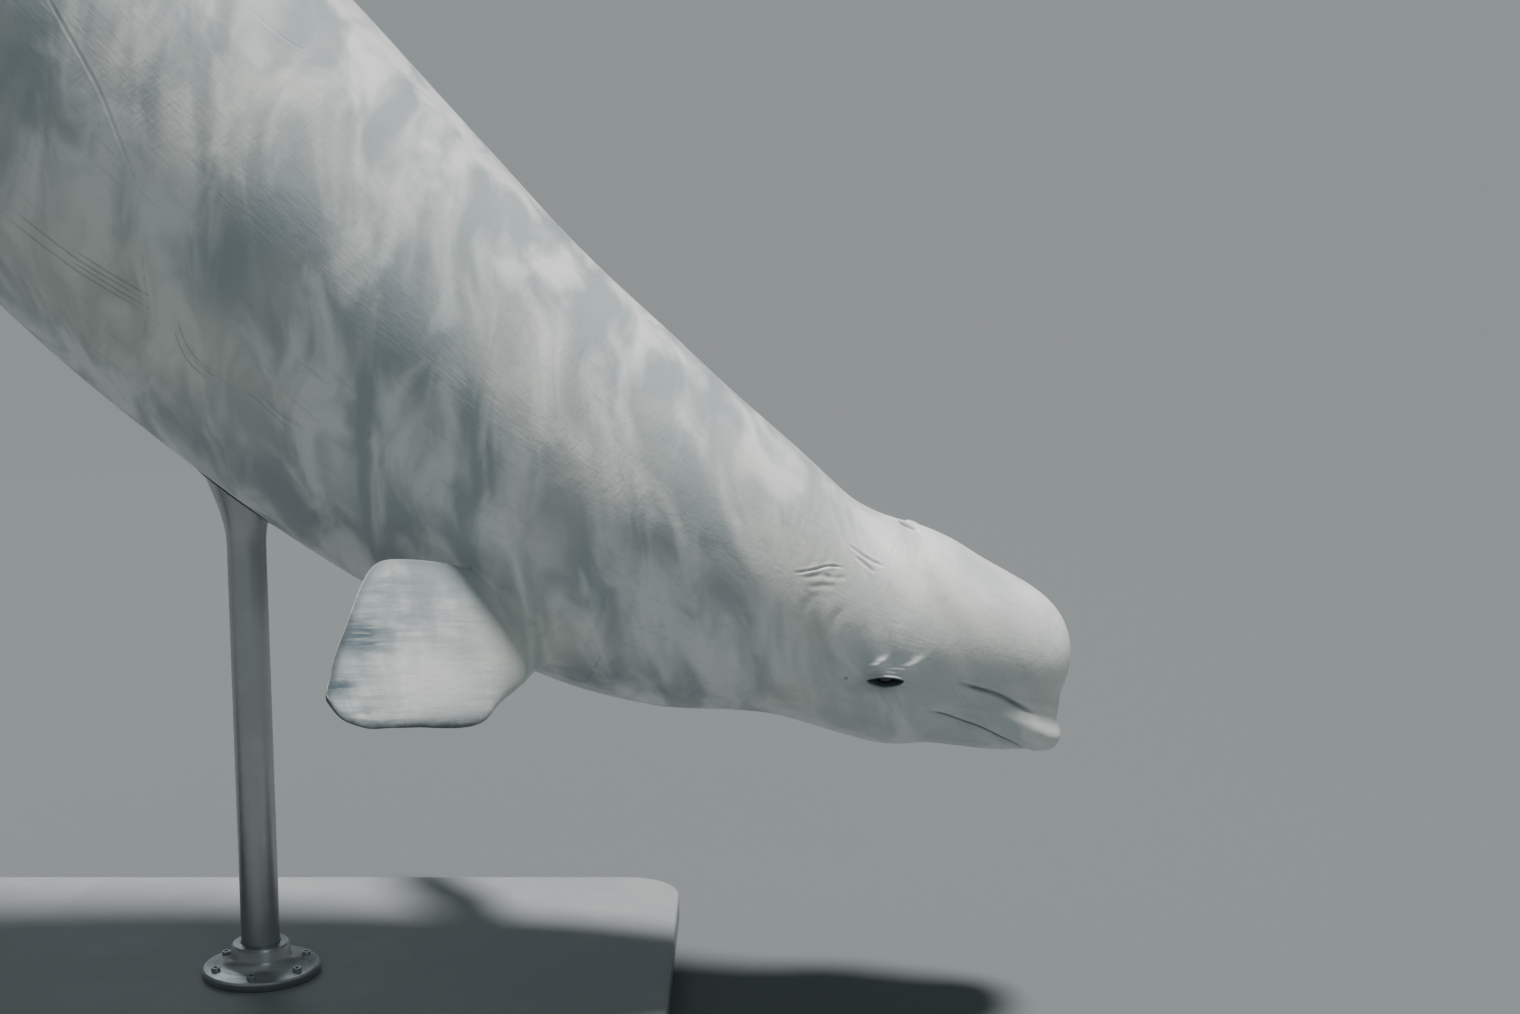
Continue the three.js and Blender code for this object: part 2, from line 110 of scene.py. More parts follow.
def smooth(x: np.ndarray | float, low: float, high: float) -> np.ndarray:
    """Ease from 0 at low to 1 at high."""
    t = np.clip((np.asarray(x, float) - low) / (high - low), 0.0, 1.0)
    return t * t * (3.0 - 2.0 * t)


def bump(x: np.ndarray, middle: float, width: float) -> np.ndarray:
    """A bell of height 1 about middle."""
    return np.exp(-(((x - middle) / width) ** 2))


def linked(name: str, data: bpy.types.ID) -> bpy.types.Object:
    """Put a new object into the scene.

    Args:
        name: its name.
        data: its mesh, light or camera.

    Returns:
        The object.
    """
    made = bpy.data.objects.new(name, data)
    bpy.context.scene.collection.objects.link(made)
    return made


def bear(mesh: bpy.types.Mesh, name: str, values: np.ndarray) -> None:
    """Give each point of a mesh a number, or a row of three.

    Args:
        mesh: the mesh.
        name: what the numbers are called.
        values: the numbers, one or three a point.
    """
    one = values.size == len(mesh.vertices)
    layer = mesh.attributes.new(name, "FLOAT" if one else "FLOAT_VECTOR", "POINT")
    layer.data.foreach_set("value" if one else "vector", values.astype(np.float32).ravel())


def melted(a: np.ndarray, b: np.ndarray, melt: float) -> np.ndarray:
    """Join two distances with a soft valley between their forms."""
    share = np.maximum(melt - np.abs(a - b), 0.0) / melt
    return np.minimum(a, b) - share * share * melt / 4.0


class SmoothTable:
    """Natural cubic curves through the rows of a table, read by its first column."""

    def __init__(self, rows: Rows) -> None:
        """Work out the curves' bends.

        Args:
            rows: the table, its first column rising.
        """
        table = np.array(rows, float)
        self.x = table[:, 0]
        self.v = table[:, 1:]
        count = len(self.x)
        step = np.diff(self.x)
        system = np.eye(count)
        right = np.zeros_like(self.v)
        for i in range(1, count - 1):
            system[i, i - 1 : i + 2] = step[i - 1], 2 * (step[i - 1] + step[i]), step[i]
            slope_after = (self.v[i + 1] - self.v[i]) / step[i]
            slope_before = (self.v[i] - self.v[i - 1]) / step[i - 1]
            right[i] = 6 * (slope_after - slope_before)
        self.bend = np.linalg.solve(system, right)

    def __call__(self, at: np.ndarray | float) -> np.ndarray:
        """Read every column.

        Args:
            at: places in the first column's range, held to it.

        Returns:
            The columns' values, last axis one per column.
        """
        here = np.clip(np.asarray(at, float), self.x[0], self.x[-1])
        i = np.clip(np.searchsorted(self.x, here, "right") - 1, 0, len(self.x) - 2)
        h = self.x[i + 1] - self.x[i]
        b = ((here - self.x[i]) / h)[..., None]
        a = 1.0 - b
        h2 = (h * h)[..., None] / 6.0
        curve = (a**3 - a) * self.bend[i] + (b**3 - b) * self.bend[i + 1]
        return a * self.v[i] + b * self.v[i + 1] + curve * h2


@dataclass(frozen=True)
class RoundedForm:
    """One of the head's rounded forms, in millimetres and degrees."""

    s: float
    w: float
    reach: Triple
    round: float
    tilt: float
    melt: float

    def outside(self, s: np.ndarray, y: np.ndarray, w: np.ndarray) -> np.ndarray:
        """Say how far points are outside the form, below 0 inside it.

        Args:
            s: how far back from the snout each point is.
            y: how far to the left it is.
            w: how far up from the axis it is.

        Returns:
            Each one's distance, about right near the form.
        """
        tilt = math.radians(self.tilt)
        along = (s - self.s) * math.cos(tilt) - (w - self.w) * math.sin(tilt)
        up = (s - self.s) * math.sin(tilt) + (w - self.w) * math.cos(tilt)
        return rounded(along, y, up, self.reach, self.round)


def rounded(
    along: np.ndarray,
    across: np.ndarray,
    up: np.ndarray,
    reach: tuple,
    power: np.ndarray | float,
) -> np.ndarray:
    """Say how far points are outside a rounded form about the origin.

    Args:
        along: distance along the form.
        across: distance to its side.
        up: distance above it.
        reach: the form's reach along each of the three.
        power: its roundness, where 2 is an ellipsoid.

    Returns:
        The distance, about right near the surface.
    """
    share = (
        np.abs(along / reach[0]) ** power
        + np.abs(across / reach[1]) ** power
        + np.abs(up / reach[2]) ** power
    ) ** (1.0 / power)
    far = np.sqrt(along * along + across * across + up * up)
    return far * (1.0 - 1.0 / np.maximum(share, 1e-6))


@dataclass
class WhaleForm:
    """The whale's body without its fins: its spine, its trunk and its head's forms."""

    snout: tuple[float, float] = (1571.0, 505.0)
    dip: Rows = (
        (0, 19.5), (330, 18.6), (450, 24), (600, 25), (800, 33.2), (1050, 39.4),
        (1400, 43.6), (1800, 45.8), (2300, 38), (2900, 27), (3500, 19), (4200, 16),
    )
    trunk: Rows = (
        (300, 146, 150, 150, 2.1), (431, 181.5, 177.5, 168, 2.1),
        (560, 223, 228, 205, 2.1), (700, 258, 259.5, 252, 2.1),
        (1012, 296, 302.5, 305, 2.15), (1351, 328.5, 332, 344, 2.2),
        (1700, 346, 344, 362, 2.2), (2050, 352, 346, 360, 2.15),
        (2450, 330, 324, 326, 2.05), (2850, 276, 274, 258, 1.95),
        (3250, 206, 208, 176, 1.85), (3550, 150, 152, 112, 1.75),
        (3780, 100, 102, 66, 1.7), (3920, 58, 60, 40, 1.75), (4045, 16, 16, 14, 2),
    )
    trunk_cap: float = 150.0
    head_end: float = 620.0
    cranium: RoundedForm = RoundedForm(288.6, 12.2, (209.6, 143.6, 161.9), 2.0, 0.0, 60.0)
    melon: RoundedForm = RoundedForm(131.4, 16.1, (120.4, 109.4, 122.3), 2.1, 0.0, 50.0)
    muzzle: RoundedForm = RoundedForm(91.0, -43.0, (84.6, 92.0, 43.7), 2.2, -0.2, 30.0)
    upper_lip: RoundedForm = RoundedForm(126.7, -53.5, (139.3, 108.0, 35.2), 2.7, -9.3, 22.0)
    lower_jaw: RoundedForm = RoundedForm(147.0, -88.3, (150.2, 94.0, 41.5), 2.3, 8.7, 14.0)
    ridge: tuple[float, float, float, float] = (1960.0, 2700.0, 18.0, 34.0)
    step: float = 5.0

    def __post_init__(self) -> None:
        """Lay the spine out from the snout back."""
        self.dip_curve = SmoothTable(self.dip)
        self.trunk_curve = SmoothTable(self.trunk)
        count = int((self.dip[-1][0] + 200) / self.step)
        dips = self.dip_at((np.arange(count) + 0.5) * self.step)
        back = np.stack([-np.cos(dips), np.sin(dips)], -1) * self.step
        start = np.array([self.snout])
        self.spine = np.concatenate([start, start + np.cumsum(back, axis=0)])
        self.marks = np.arange(count + 1) * self.step

    def dip_at(self, s: np.ndarray | float) -> np.ndarray:
        """Read the spine's dip below the horizontal, in radians."""
        return np.radians(self.dip_curve(s)[..., 0])

    def place(self, s: np.ndarray, y: np.ndarray, w: np.ndarray) -> np.ndarray:
        """Put points of the straight body on the bent spine, in millimetres.

        Args:
            s: how far back from the snout each point is.
            y: how far to the left it is.
            w: how far up from the axis it is.

        Returns:
            Their x, y and z.
        """
        s, y, w = np.broadcast_arrays(*(np.asarray(v, float) for v in (s, y, w)))
        dip = self.dip_at(s)
        ahead = np.minimum(s, 0.0)
        x = np.interp(s, self.marks, self.spine[:, 0]) - ahead * np.cos(dip)
        z = np.interp(s, self.marks, self.spine[:, 1]) + ahead * np.sin(dip)
        return np.stack([x + w * np.sin(dip), y, z + w * np.cos(dip)], -1)

    def straighten(self, points: np.ndarray, s: float) -> np.ndarray:
        """Find the straight body's places of points near a place along it.

        Args:
            points: the points, in millimetres.
            s: about where they are along the body.

        Returns:
            Their s, y and w.
        """
        at = np.full(len(points), float(s))
        for _ in range(25):
            dip = self.dip_at(at)
            dx = points[:, 0] - np.interp(at, self.marks, self.spine[:, 0])
            dz = points[:, 2] - np.interp(at, self.marks, self.spine[:, 1])
            at = at + 0.8 * (-dx * np.cos(dip) + dz * np.sin(dip))
        return np.stack([at, points[:, 1], dx * np.sin(dip) + dz * np.cos(dip)], -1)

    def outside(self, s: np.ndarray, y: np.ndarray, w: np.ndarray) -> np.ndarray:
        """Say how far points of the straight body are outside it, below 0 inside.

        Args:
            s: how far back from the snout each point is.
            y: how far to the left it is.
            w: how far up from the axis it is.

        Returns:
            Each one's distance, about right near the skin.
        """
        first = self.trunk[0][0]
        rows = self.trunk_curve(s)
        back, belly, side, power = (rows[..., k] for k in range(4))
        reach = (self.trunk_cap, side, np.where(w > 0, back, belly))
        d = rounded(np.maximum(first - s, 0.0), y, w, reach, power)
        if np.min(s) < self.head_end:
            forms = (self.cranium, self.melon, self.muzzle, self.upper_lip, self.lower_jaw)
            for form in forms:
                joined = melted(d, form.outside(s, y, w), form.melt)
                d = np.where(s < self.head_end, joined, d)
        start, end, height, half = self.ridge
        crest = smooth(s, start, start + 220) * (1 - smooth(s, end - 260, end))
        return d - np.where(w > 0, height * crest * np.exp(-((y / half) ** 2)), 0.0)

    def surface(
        self, s: np.ndarray | float, turn: np.ndarray | float, angle: np.ndarray | float
    ) -> np.ndarray:
        """Find the skin along rays from the axis.

        Args:
            s: where each ray starts on the axis.
            turn: its angle from straight ahead.
            angle: its angle round the axis, 0 to the right and a quarter turn to the back.

        Returns:
            The straight body's places where the rays leave it.
        """
        s, turn, angle = np.broadcast_arrays(s, turn, angle)
        ahead = np.cos(turn)
        right = -np.sin(turn) * np.cos(angle)
        up = np.sin(turn) * np.sin(angle)
        inner = np.zeros(s.shape)
        outer = np.full(s.shape, REACH)
        for _ in range(19):
            r = (inner + outer) / 2
            within = self.outside(s - r * ahead, r * right, r * up) < 0
            inner = np.where(within, r, inner)
            outer = np.where(within, outer, r)
        return np.stack([s - inner * ahead, inner * right, inner * up], -1)


@dataclass
class FlipperForm:
    """A flipper's place, its turns in degrees, and its outline in millimetres."""

    s: float = 788.0
    below: float = 39.0
    turn_out: float = 55.0
    rise: float = 9.0
    roll: float = 70.0
    tip_curl: float = 15.0
    edge_curl: float = 8.0
    curl_fade: float = 22.0
    nick: Triple = (134.0, 20.0, 5.0)
    ruffle: float = 1.6
    outline: Rows = (
        (-120, 18, -42, 60), (-40, 42, -54, 56), (15, 77, -68, 50), (60, 99, -80, 45),
        (95, 116, -87, 41), (125, 133, -92, 37), (170, 141, -97, 32), (240, 138, -99, 26),
        (290, 136, -90, 22), (330, 135, -55, 19), (369, 134, -5, 16), (400, 127, 33, 13),
        (422, 116, 68, 10), (436, 99, 87, 7),
    )

    def __post_init__(self) -> None:
        """Set the right flipper's own axes: out along it, to its leading edge, up through it."""
        turn, rise = math.radians(self.turn_out), math.radians(self.rise)
        level = math.cos(rise)
        out = Vector((-level * math.cos(turn), -level * math.sin(turn), math.sin(rise)))
        across = Vector((0, 0, 1)).cross(out).normalized()
        across.rotate(Matrix.Rotation(-math.radians(self.roll), 3, out))
        self.out, self.across = np.array(out), np.array(across)
        self.up = np.cross(self.out, self.across)
        rows = [[float(i), *row] for i, row in enumerate(self.outline)]
        self.curve = SmoothTable(rows)

    def points(self, share: np.ndarray, around: np.ndarray, root: np.ndarray) -> np.ndarray:
        """Find points of the right flipper's skin.

        Args:
            share: how far down the outline's rows each is, from 0 to 1.
            around: its angle round the section, 0 at the leading edge.
            root: the flipper's place on the body.

        Returns:
            The points, in millimetres.
        """
        rows = self.curve(share * (len(self.outline) - 1))
        span, leading, trailing, thick = (rows[..., k] for k in range(4))
        out_share = np.maximum(span / self.outline[-1][0], 0.0)
        along = np.cos(around)
        height = np.sin(around) * (0.78 + 0.3 * along)
        v = (leading + trailing) / 2 + along * (leading - trailing) / 2
        rim = smooth(along, 0.45, 1.0) * smooth(out_share, 0.25, 0.8)
        ruffle = (np.sin(span / 21.0 + 1.3) + 0.6 * np.sin(span / 9.7)) * rim
        inward = (1 - along) * (leading - trailing) / 2
        at, wide, high = self.nick
        edge = self.edge_curl * out_share + high * bump(span, at, wide)
        curl = self.tip_curl * out_share**3 + edge * np.exp(-inward / self.curl_fade)
        lift = thick / 2 * height + curl + self.ruffle * ruffle
        return (
            root
            + span[..., None] * self.out
            + v[..., None] * self.across
            + lift[..., None] * self.up
        )


@dataclass
class FlukeForm:
    """The flukes, out from the middle, and how the tail stock spreads into them."""

    start: float = 3600.0
    notch: float = 4088.0
    span: float = 502.0
    droop: float = 34.0
    rear: Rows = (
        (0, 4088), (55, 4132), (130, 4176), (230, 4200), (330, 4197), (420, 4174),
        (478, 4150), (502, 4132),
    )
    leading: Rows = (
        (0, 3600, 103), (1, 3680, 87), (2, 3745, 76), (3, 3796, 84), (4, 3838, 114),
        (5, 3874, 160), (6, 3914, 230), (7, 3972, 330), (8, 4032, 420), (9, 4084, 478),
        (10, 4124, 502),
    )
    thickness: Rows = (
        (0, 66), (55, 60), (130, 48), (230, 36), (330, 26), (420, 18), (478, 12), (502, 7),
    )

    def __post_init__(self) -> None:
        """Space the leading edge evenly."""
        dense = SmoothTable(self.leading)(np.linspace(0, len(self.leading) - 1, 400))
        gone = np.r_[0.0, np.cumsum(np.hypot(*np.diff(dense, axis=0).T))]
        self.edge = dense
        self.edge_share = gone / gone[-1]
        self.rear_curve = SmoothTable(self.rear)
        self.thick_curve = SmoothTable(self.thickness)
        outer = dense[np.argmin(dense[:, 1]) :]
        inner = np.array([[outer[0, 0] - 30.0, 0.0]])
        self.front_points = np.concatenate([inner, outer])

    def rings(self, body: WhaleForm, count: int, start_ring: np.ndarray) -> np.ndarray:
        """Spread the tail stock's last ring out to the flukes' trailing edge.

        Args:
            body: the body the flukes end.
            count: how many rings to make.
            start_ring: the stock's last ring, its first half from belly to back by the right.

        Returns:
            The rings' places on the straight body.
        """
        around = len(start_ring)
        angle = 2 * np.pi * np.arange(around) / around - np.pi / 2
        out = np.cos(angle)
        side0 = np.abs(start_ring[:, 1]).max()
        first = -start_ring[:, 1] / side0
        rings = []
        for t in np.linspace(0, 1, count + 1)[1:]:
            edge_s = np.interp(t, self.edge_share, self.edge[:, 0])
            edge_y = np.interp(t, self.edge_share, self.edge[:, 1])
            share = first + (out - first) * smooth(t, 0.0, 0.3)
            e = np.abs(share)
            middle = self.start + (self.notch - self.start) * t
            y = e * edge_y
            straight = self.notch + (self.edge[-1, 0] - self.notch) * e
            swell = self.rear_curve(e * self.span)[..., 0] - straight
            s = (1 - e) * middle + e * edge_s + t * t * swell * (1 - smooth(e, 0.985, 1.0))
            half = self.half_thickness(body, s, y, e)
            w = np.where(np.sin(angle) >= 0, half[0], -half[1])
            w = np.where(np.abs(np.sin(angle)) < 1e-9, 0.0, w) - self.droop * (y / self.span) ** 2
            rings.append(np.stack([s, -np.sign(share) * y, w], -1))
        return np.array(rings)

    def half_thickness(
        self, body: WhaleForm, s: np.ndarray, y: np.ndarray, e: np.ndarray
    ) -> np.ndarray:
        """Find the height of the upper and lower skin over the flukes' middle sheet.

        Args:
            body: the body the flukes end.
            s: how far back each point is.
            y: how far out from the middle it is.
            e: its share of the way out to the edge.

        Returns:
            The upper heights, then the lower ones.
        """
        front = np.interp(y, self.front_points[:, 1], self.front_points[:, 0])
        rear = self.rear_curve(y)[..., 0]
        x = np.clip((s - front) / np.maximum(rear - front, 8.0), 0.0, 1.0)
        foil = 10 * (
            0.2969 * np.sqrt(x) - 0.126 * x - 0.3516 * x**2 + 0.2843 * x**3 - 0.1015 * x**4
        )
        sheet = self.thick_curve(y)[..., 0] / 2 * np.maximum(foil, 0) + 1.6 * smooth(x, 0, 0.1)
        rows = body.trunk_curve(s)
        heights = []
        for reach in (rows[..., 0], rows[..., 1]):
            side, power = rows[..., 2], rows[..., 3]
            oval = np.maximum(1 - np.minimum(y / side, 1.0) ** power, 0.0) ** (1 / power)
            crest = 0.5 + 0.5 * np.cos(np.pi * np.minimum(y / (1.5 * side), 1.0))
            fade = smooth(s, 3640, 3800)
            stock = reach * ((1 - fade) * oval + fade * crest)
            melt = 3.0 + 16.0 * fade
            heights.append(-melted(-stock, -sheet, 1.0 + melt))
        edge = np.minimum((1 - e) / 0.002, 1.0)
        return np.array(heights) * edge


@dataclass(frozen=True)
class SkinLine:
    """A fold, wrinkle or old scratch, along places (s, w) of a side, in millimetres."""

    rows: Places
    half_width: float
    depth: float
    tone: float
    sides: tuple[Side, ...] = (Side.RIGHT, Side.LEFT)


def raked(
    rows: Places, count: int, apart: float, depth: float, tone: float, *sides: Side
) -> list[SkinLine]:
    """Lay parallel scratches side by side.

    Args:
        rows: places (s, w) of the first.
        count: how many there are.
        apart: the distance between them.
        depth: how deep they are.
        tone: how dark they are.
        *sides: the sides of the whale that bear them.

    Returns:
        The scratches.
    """
    made = []
    for k in range(count):
        shift = (k - (count - 1) / 2) * apart
        moved = tuple((s + 0.35 * shift, w + shift) for s, w in rows[k % 2 :])
        made.append(SkinLine(moved, 1.5, depth, tone, sides))
    return made


Path = tuple[SkinLine, np.ndarray]


@dataclass(frozen=True)
class EyeForm:
    """An eye and the almond between its lids, in millimetres and degrees."""

    s: float = 295.0
    below: float = 13.0
    radius: float = 20.0
    sunk: float = 23.0
    slit_long: float = 50.0
    slit_high: float = 6.0
    tilt: float = 17.0

    def axes(self, body: WhaleForm, side: Side) -> tuple[np.ndarray, ...]:
        """Find the eye's place on the straight body's skin, and its ways back, up and out.

        Args:
            body: the whale's body.
            side: the eye's side.

        Returns:
            The place, then the three ways.
        """
        angle = -math.radians(self.below)
        at = body.surface(self.s, np.pi / 2, angle)
        at = at * np.array([1.0, -side.value, 1.0])
        low, flat = math.sin(-angle), math.cos(angle)
        out = np.array([0.0, side.value * flat, -low])
        up = np.array([0.0, side.value * low, flat])
        back = np.array([1.0, 0.0, 0.0])
        cos, sin = math.cos(math.radians(self.tilt)), math.sin(math.radians(self.tilt))
        return at, back * cos - up * sin, back * sin + up * cos, out


@dataclass
class HeadDetail:
    """What presses into the head's skin or swells it: lips, lids, folds, ears and blowhole."""

    mouth: Rows = (
        (10, -107), (28, -99), (45, -96), (66, -89), (92, -84), (130, -77), (165, -74),
        (206, -69), (216, -70),
    )
    crease: Rows = (
        (5, -37), (46, -35), (66, -31.5), (93, -25.5), (118, -19.5), (144, -17),
        (169, -15.5), (190, -12), (205, -8),
    )
    eye: EyeForm = EyeForm()
    ear: tuple[float, float] = (350.0, 19.0)
    blowhole: Triple = (333.0, 36.0, 24.0)
    # How far back the details reach, and how far from an eye its folds do.
    end: float = 440.0
    lid_room: float = 110.0
    # How near to each detail the skin is split, once, twice and three times.
    fine_end: float = 420.0
    mouth_room: tuple[float, ...] = (26, 14, 7)
    mouth_end: tuple[float, ...] = (232, 224, 219)
    crease_room: tuple[float, ...] = (20, 12, 0)
    blow_room: tuple[float, ...] = (26, 16, 8)
    blow_reach: tuple[float, ...] = (50, 42, 38)
    eye_room: tuple[float, ...] = (72, 54, 36)

    def sheet(self, rows: Rows, p: np.ndarray) -> np.ndarray:
        """Say how far points are above a line that runs right across the head.

        Args:
            rows: the line's places (s, w).
            p: points of the straight body.

        Returns:
            Each one's distance above it.
        """
        curve = SmoothTable(rows)
        here, ahead = curve(p[:, 0])[:, 0], curve(p[:, 0] - 2.0)[:, 0]
        return (p[:, 2] - here) / np.hypot(1.0, (here - ahead) / 2.0)

    def lips(self, p: np.ndarray) -> tuple[np.ndarray, np.ndarray]:
        """Press the line of the mouth and the crease over the upper lip into the skin.

        Args:
            p: points of the straight body.

        Returns:
            How far each point rises, and how much darker it is.
        """
        d = self.sheet(self.mouth, p)
        fade = 1 - smooth(p[:, 0], 194, 217)
        low = bump(p[:, 2], -90, 44)
        rise = -4.4 * bump(d, 0, 1.5) - 0.9 * bump(d, -3, 8.0)
        rise += 2.1 * bump(d, 5.2, 3.0) + 1.2 * bump(d, -6.5, 3.6)
        corner = bump(np.hypot(p[:, 0] - 216, (p[:, 2] + 71) * 1.4), 0, 8)
        rise = rise * fade * low - 1.8 * corner
        # Painted shade along the mouth's line and in its corner.
        tone = (0.62 * bump(d, 0, 1.7) + 0.2 * bump(d, -4, 8)) * fade * low + 0.2 * corner
        # A painted highlight along the upper lip's edge, just over the mouth's line.
        tone -= 0.4 * bump(d, 4.6, 2.2) * fade * low
        c = self.sheet(self.crease, p)
        window = smooth(p[:, 0], 36, 86) * (1 - smooth(p[:, 0], 156, 205)) * (p[:, 0] < 206)
        rise = rise - (3.4 * bump(c, 0, 3.6) - 1.1 * bump(c, 8, 5) - 0.5 * bump(c, -8, 5)) * window
        # Painted shade along the crease over the upper lip.
        tone = tone + (0.55 * bump(c, 0, 3.4) + 0.14 * bump(c, 0, 11)) * window
        return rise, tone

    def lids(self, body: WhaleForm, p: np.ndarray, side: Side) -> tuple[np.ndarray, np.ndarray]:
        """Open the almond over one eye, and fold the skin round it.

        Args:
            body: the whale's body.
            p: points of the straight body.
            side: the eye's side.

        Returns:
            How far each point rises, and how much darker it is.
        """
        at, back, up, _ = self.eye.axes(body, side)
        near = np.linalg.norm(p - at, axis=1) < self.lid_room
        a = (p - at) @ back
        b = (p - at) @ up
        half = self.eye.slit_long / 2
        lid = self.eye.slit_high * np.maximum(1 - (a / half) ** 2, 0.0) ** 0.8
        lid = np.where(b > 0, 0.86 * lid, 1.1 * lid)
        past = np.abs(b) - lid
        past = np.where(np.abs(a) > half, np.hypot(np.abs(a) - half, b), past * 0.92)
        # The opening's floor lies 2 mm under the ball's face, and no deeper than 9 mm.
        from_axis = np.minimum(np.hypot(a, b), self.eye.radius - 0.5)
        ball = self.eye.sunk - np.sqrt(self.eye.radius**2 - from_axis**2)
        floor = np.minimum(ball + 2.0, 9.0)
        rise = 4.0 * np.exp(-1.3 * ((a / 40) ** 2 + (b / 24) ** 2))
        rise -= (floor + rise) * smooth(-past, -0.2, 1.5)
        rise += 1.7 * bump(past, 2.4, 1.9) * smooth(past, -0.3, 1.0)
        # Folds over and under the lids, then the short ones at the corners.
        reach = 1 - smooth(np.abs(a), 18, 46)
        folds = ((7.5, 1.7, 1.5), (12.5, 1.3, 1.6), (18.0, 1.0, 1.8), (25.0, 0.7, 2.2))
        for k, (offset, depth, width) in enumerate(folds):
            bow = offset + 0.003 * a * a + 0.8 * np.sin(a / 7.0 + 2.0 * k)
            rise -= depth * bump(b - 0.7 * lid, bow, width) * reach * (b > 0)
            rise -= 0.8 * depth * bump(-b - 0.7 * lid, 0.9 * bow, width) * reach * (b < 0)
        for where, slope in ((1, 0.34), (1, -0.05), (1, -0.42), (-1, 0.3), (-1, -0.3)):
            line = b - slope * (a * where - half + 3)
            window = smooth(a * where, half - 2, half + 5) * (1 - smooth(a * where, 34, 52))
            rise -= 1.1 * bump(line, 0, 1.6) * window
        # The two brow bumps and the hollow between them.
        rise += 5.0 * np.exp(-(((a - 10) / 12) ** 2) - ((b - 28 + 0.5 * (a - 10)) / 6.0) ** 2)
        rise += 3.8 * np.exp(-(((a + 41) / 13) ** 2) - ((b - 25 + 0.45 * (a + 41)) / 6.5) ** 2)
        rise -= 2.2 * np.exp(-(((a + 16) / 14) ** 2) - ((b - 31) / 8) ** 2)
        # Painted shade along the lids' edge and down into the opening, then a darker patch round the
        # eye, centred a little under the slit.
        tone = 0.85 * bump(past, 0.4, 1.6) + 0.7 * smooth(-past, -0.5, 1.0)
        tone += 0.42 * np.exp(-(((a - 3) / 44) ** 2) - (((b + 6) / 19) ** 2))
        return np.where(near, rise, 0.0), np.where(near, tone, 0.0)

    def ears(self, body: WhaleForm, p: np.ndarray) -> tuple[np.ndarray, np.ndarray]:
        """Sink the two pinholes behind the eyes.

        Args:
            body: the whale's body.
            p: points of the straight body.

        Returns:
            How far each point rises, and how much darker it is.
        """
        s, below = self.ear
        at = body.surface(s, np.pi / 2, -math.radians(below)) * np.array([1, -1, 1])
        d = np.linalg.norm(p * np.array([1, 0, 1]) + np.abs(p) * np.array([0, 1, 0]) - at, axis=1)
        # The pinhole is darkened with painted shade.
        return -5.0 * bump(d, 0, 2.2) - 0.9 * bump(d, 0, 9), 0.5 * bump(d, 0, 2.4)

    def blow(self, p: np.ndarray) -> tuple[np.ndarray, np.ndarray]:
        """Close the blowhole's crescent on the crown, its horns forward.

        Args:
            p: points of the straight body.

        Returns:
            How far each point rises, and how much darker it is.
        """
        s, half, bend = self.blowhole
        share = p[:, 1] / half
        d = (p[:, 0] - (s - bend * share**2)) / np.hypot(1, 2 * bend * share / half)
        window = (1 - smooth(np.abs(share), 0.72, 1.0)) * smooth(p[:, 2], 90, 130)
        wide = bump(p[:, 1], 0, 52) * smooth(p[:, 2], 90, 130)
        rise = (-12.0 * bump(d, 0, 3.6) - 2.2 * bump(d, 4, 10) + 2.4 * bump(d, -9, 5)) * window
        rise += 1.4 * bump(p[:, 0], s - 26, 26) * wide - 1.2 * bump(p[:, 0], s + 30, 22) * wide
        # The crescent's slit is darkened with painted shade.
        return rise, (0.9 * bump(d, 0, 3.6) + 0.2 * bump(d, 0, 12)) * window

    def near(self, body: WhaleForm, p: np.ndarray, level: int) -> np.ndarray:
        """Say which points are near enough to a detail to need finer skin.

        Args:
            body: the whale's body.
            p: points of the straight body.
            level: how fine the skin is to be, 0 the coarsest.

        Returns:
            True where it is.
        """
        s, half, bend = self.blowhole
        lips = np.abs(self.sheet(self.mouth, p)) < self.mouth_room[level]
        lips &= (p[:, 0] < self.mouth_end[level]) & (p[:, 2] > -150)
        crease = np.abs(self.sheet(self.crease, p)) < self.crease_room[level]
        crease &= p[:, 0] < 204
        crescent = s - bend * (p[:, 1] / half) ** 2
        blow = np.abs(p[:, 0] - crescent) < self.blow_room[level]
        blow &= (np.abs(p[:, 1]) < self.blow_reach[level]) & (p[:, 2] > 100)
        eyes = np.zeros(len(p), bool)
        for side in Side:
            at = self.eye.axes(body, side)[0]
            eyes |= np.linalg.norm(p - at, axis=1) < self.eye_room[level]
        return lips | crease | blow | eyes


def line_distance(p: np.ndarray, line: np.ndarray) -> tuple[np.ndarray, np.ndarray]:
    """Measure points against a line of straight stretches.

    Args:
        p: the points.
        line: the line's corners.

    Returns:
        Each point's distance from the line, and the share of its length it is beside.
    """
    best = np.full(len(p), 1e9)
    share = np.zeros(len(p))
    lengths = np.linalg.norm(np.diff(line, axis=0), axis=1)
    gone = np.r_[0.0, np.cumsum(lengths)]
    for k, length in enumerate(lengths):
        way = (line[k + 1] - line[k]) / length
        along = np.clip((p - line[k]) @ way, 0, length)
        d = np.linalg.norm(p - line[k] - along[:, None] * way, axis=1)
        better = d < best
        best = np.where(better, d, best)
        share = np.where(better, (gone[k] + along) / gone[-1], share)
    return best, share


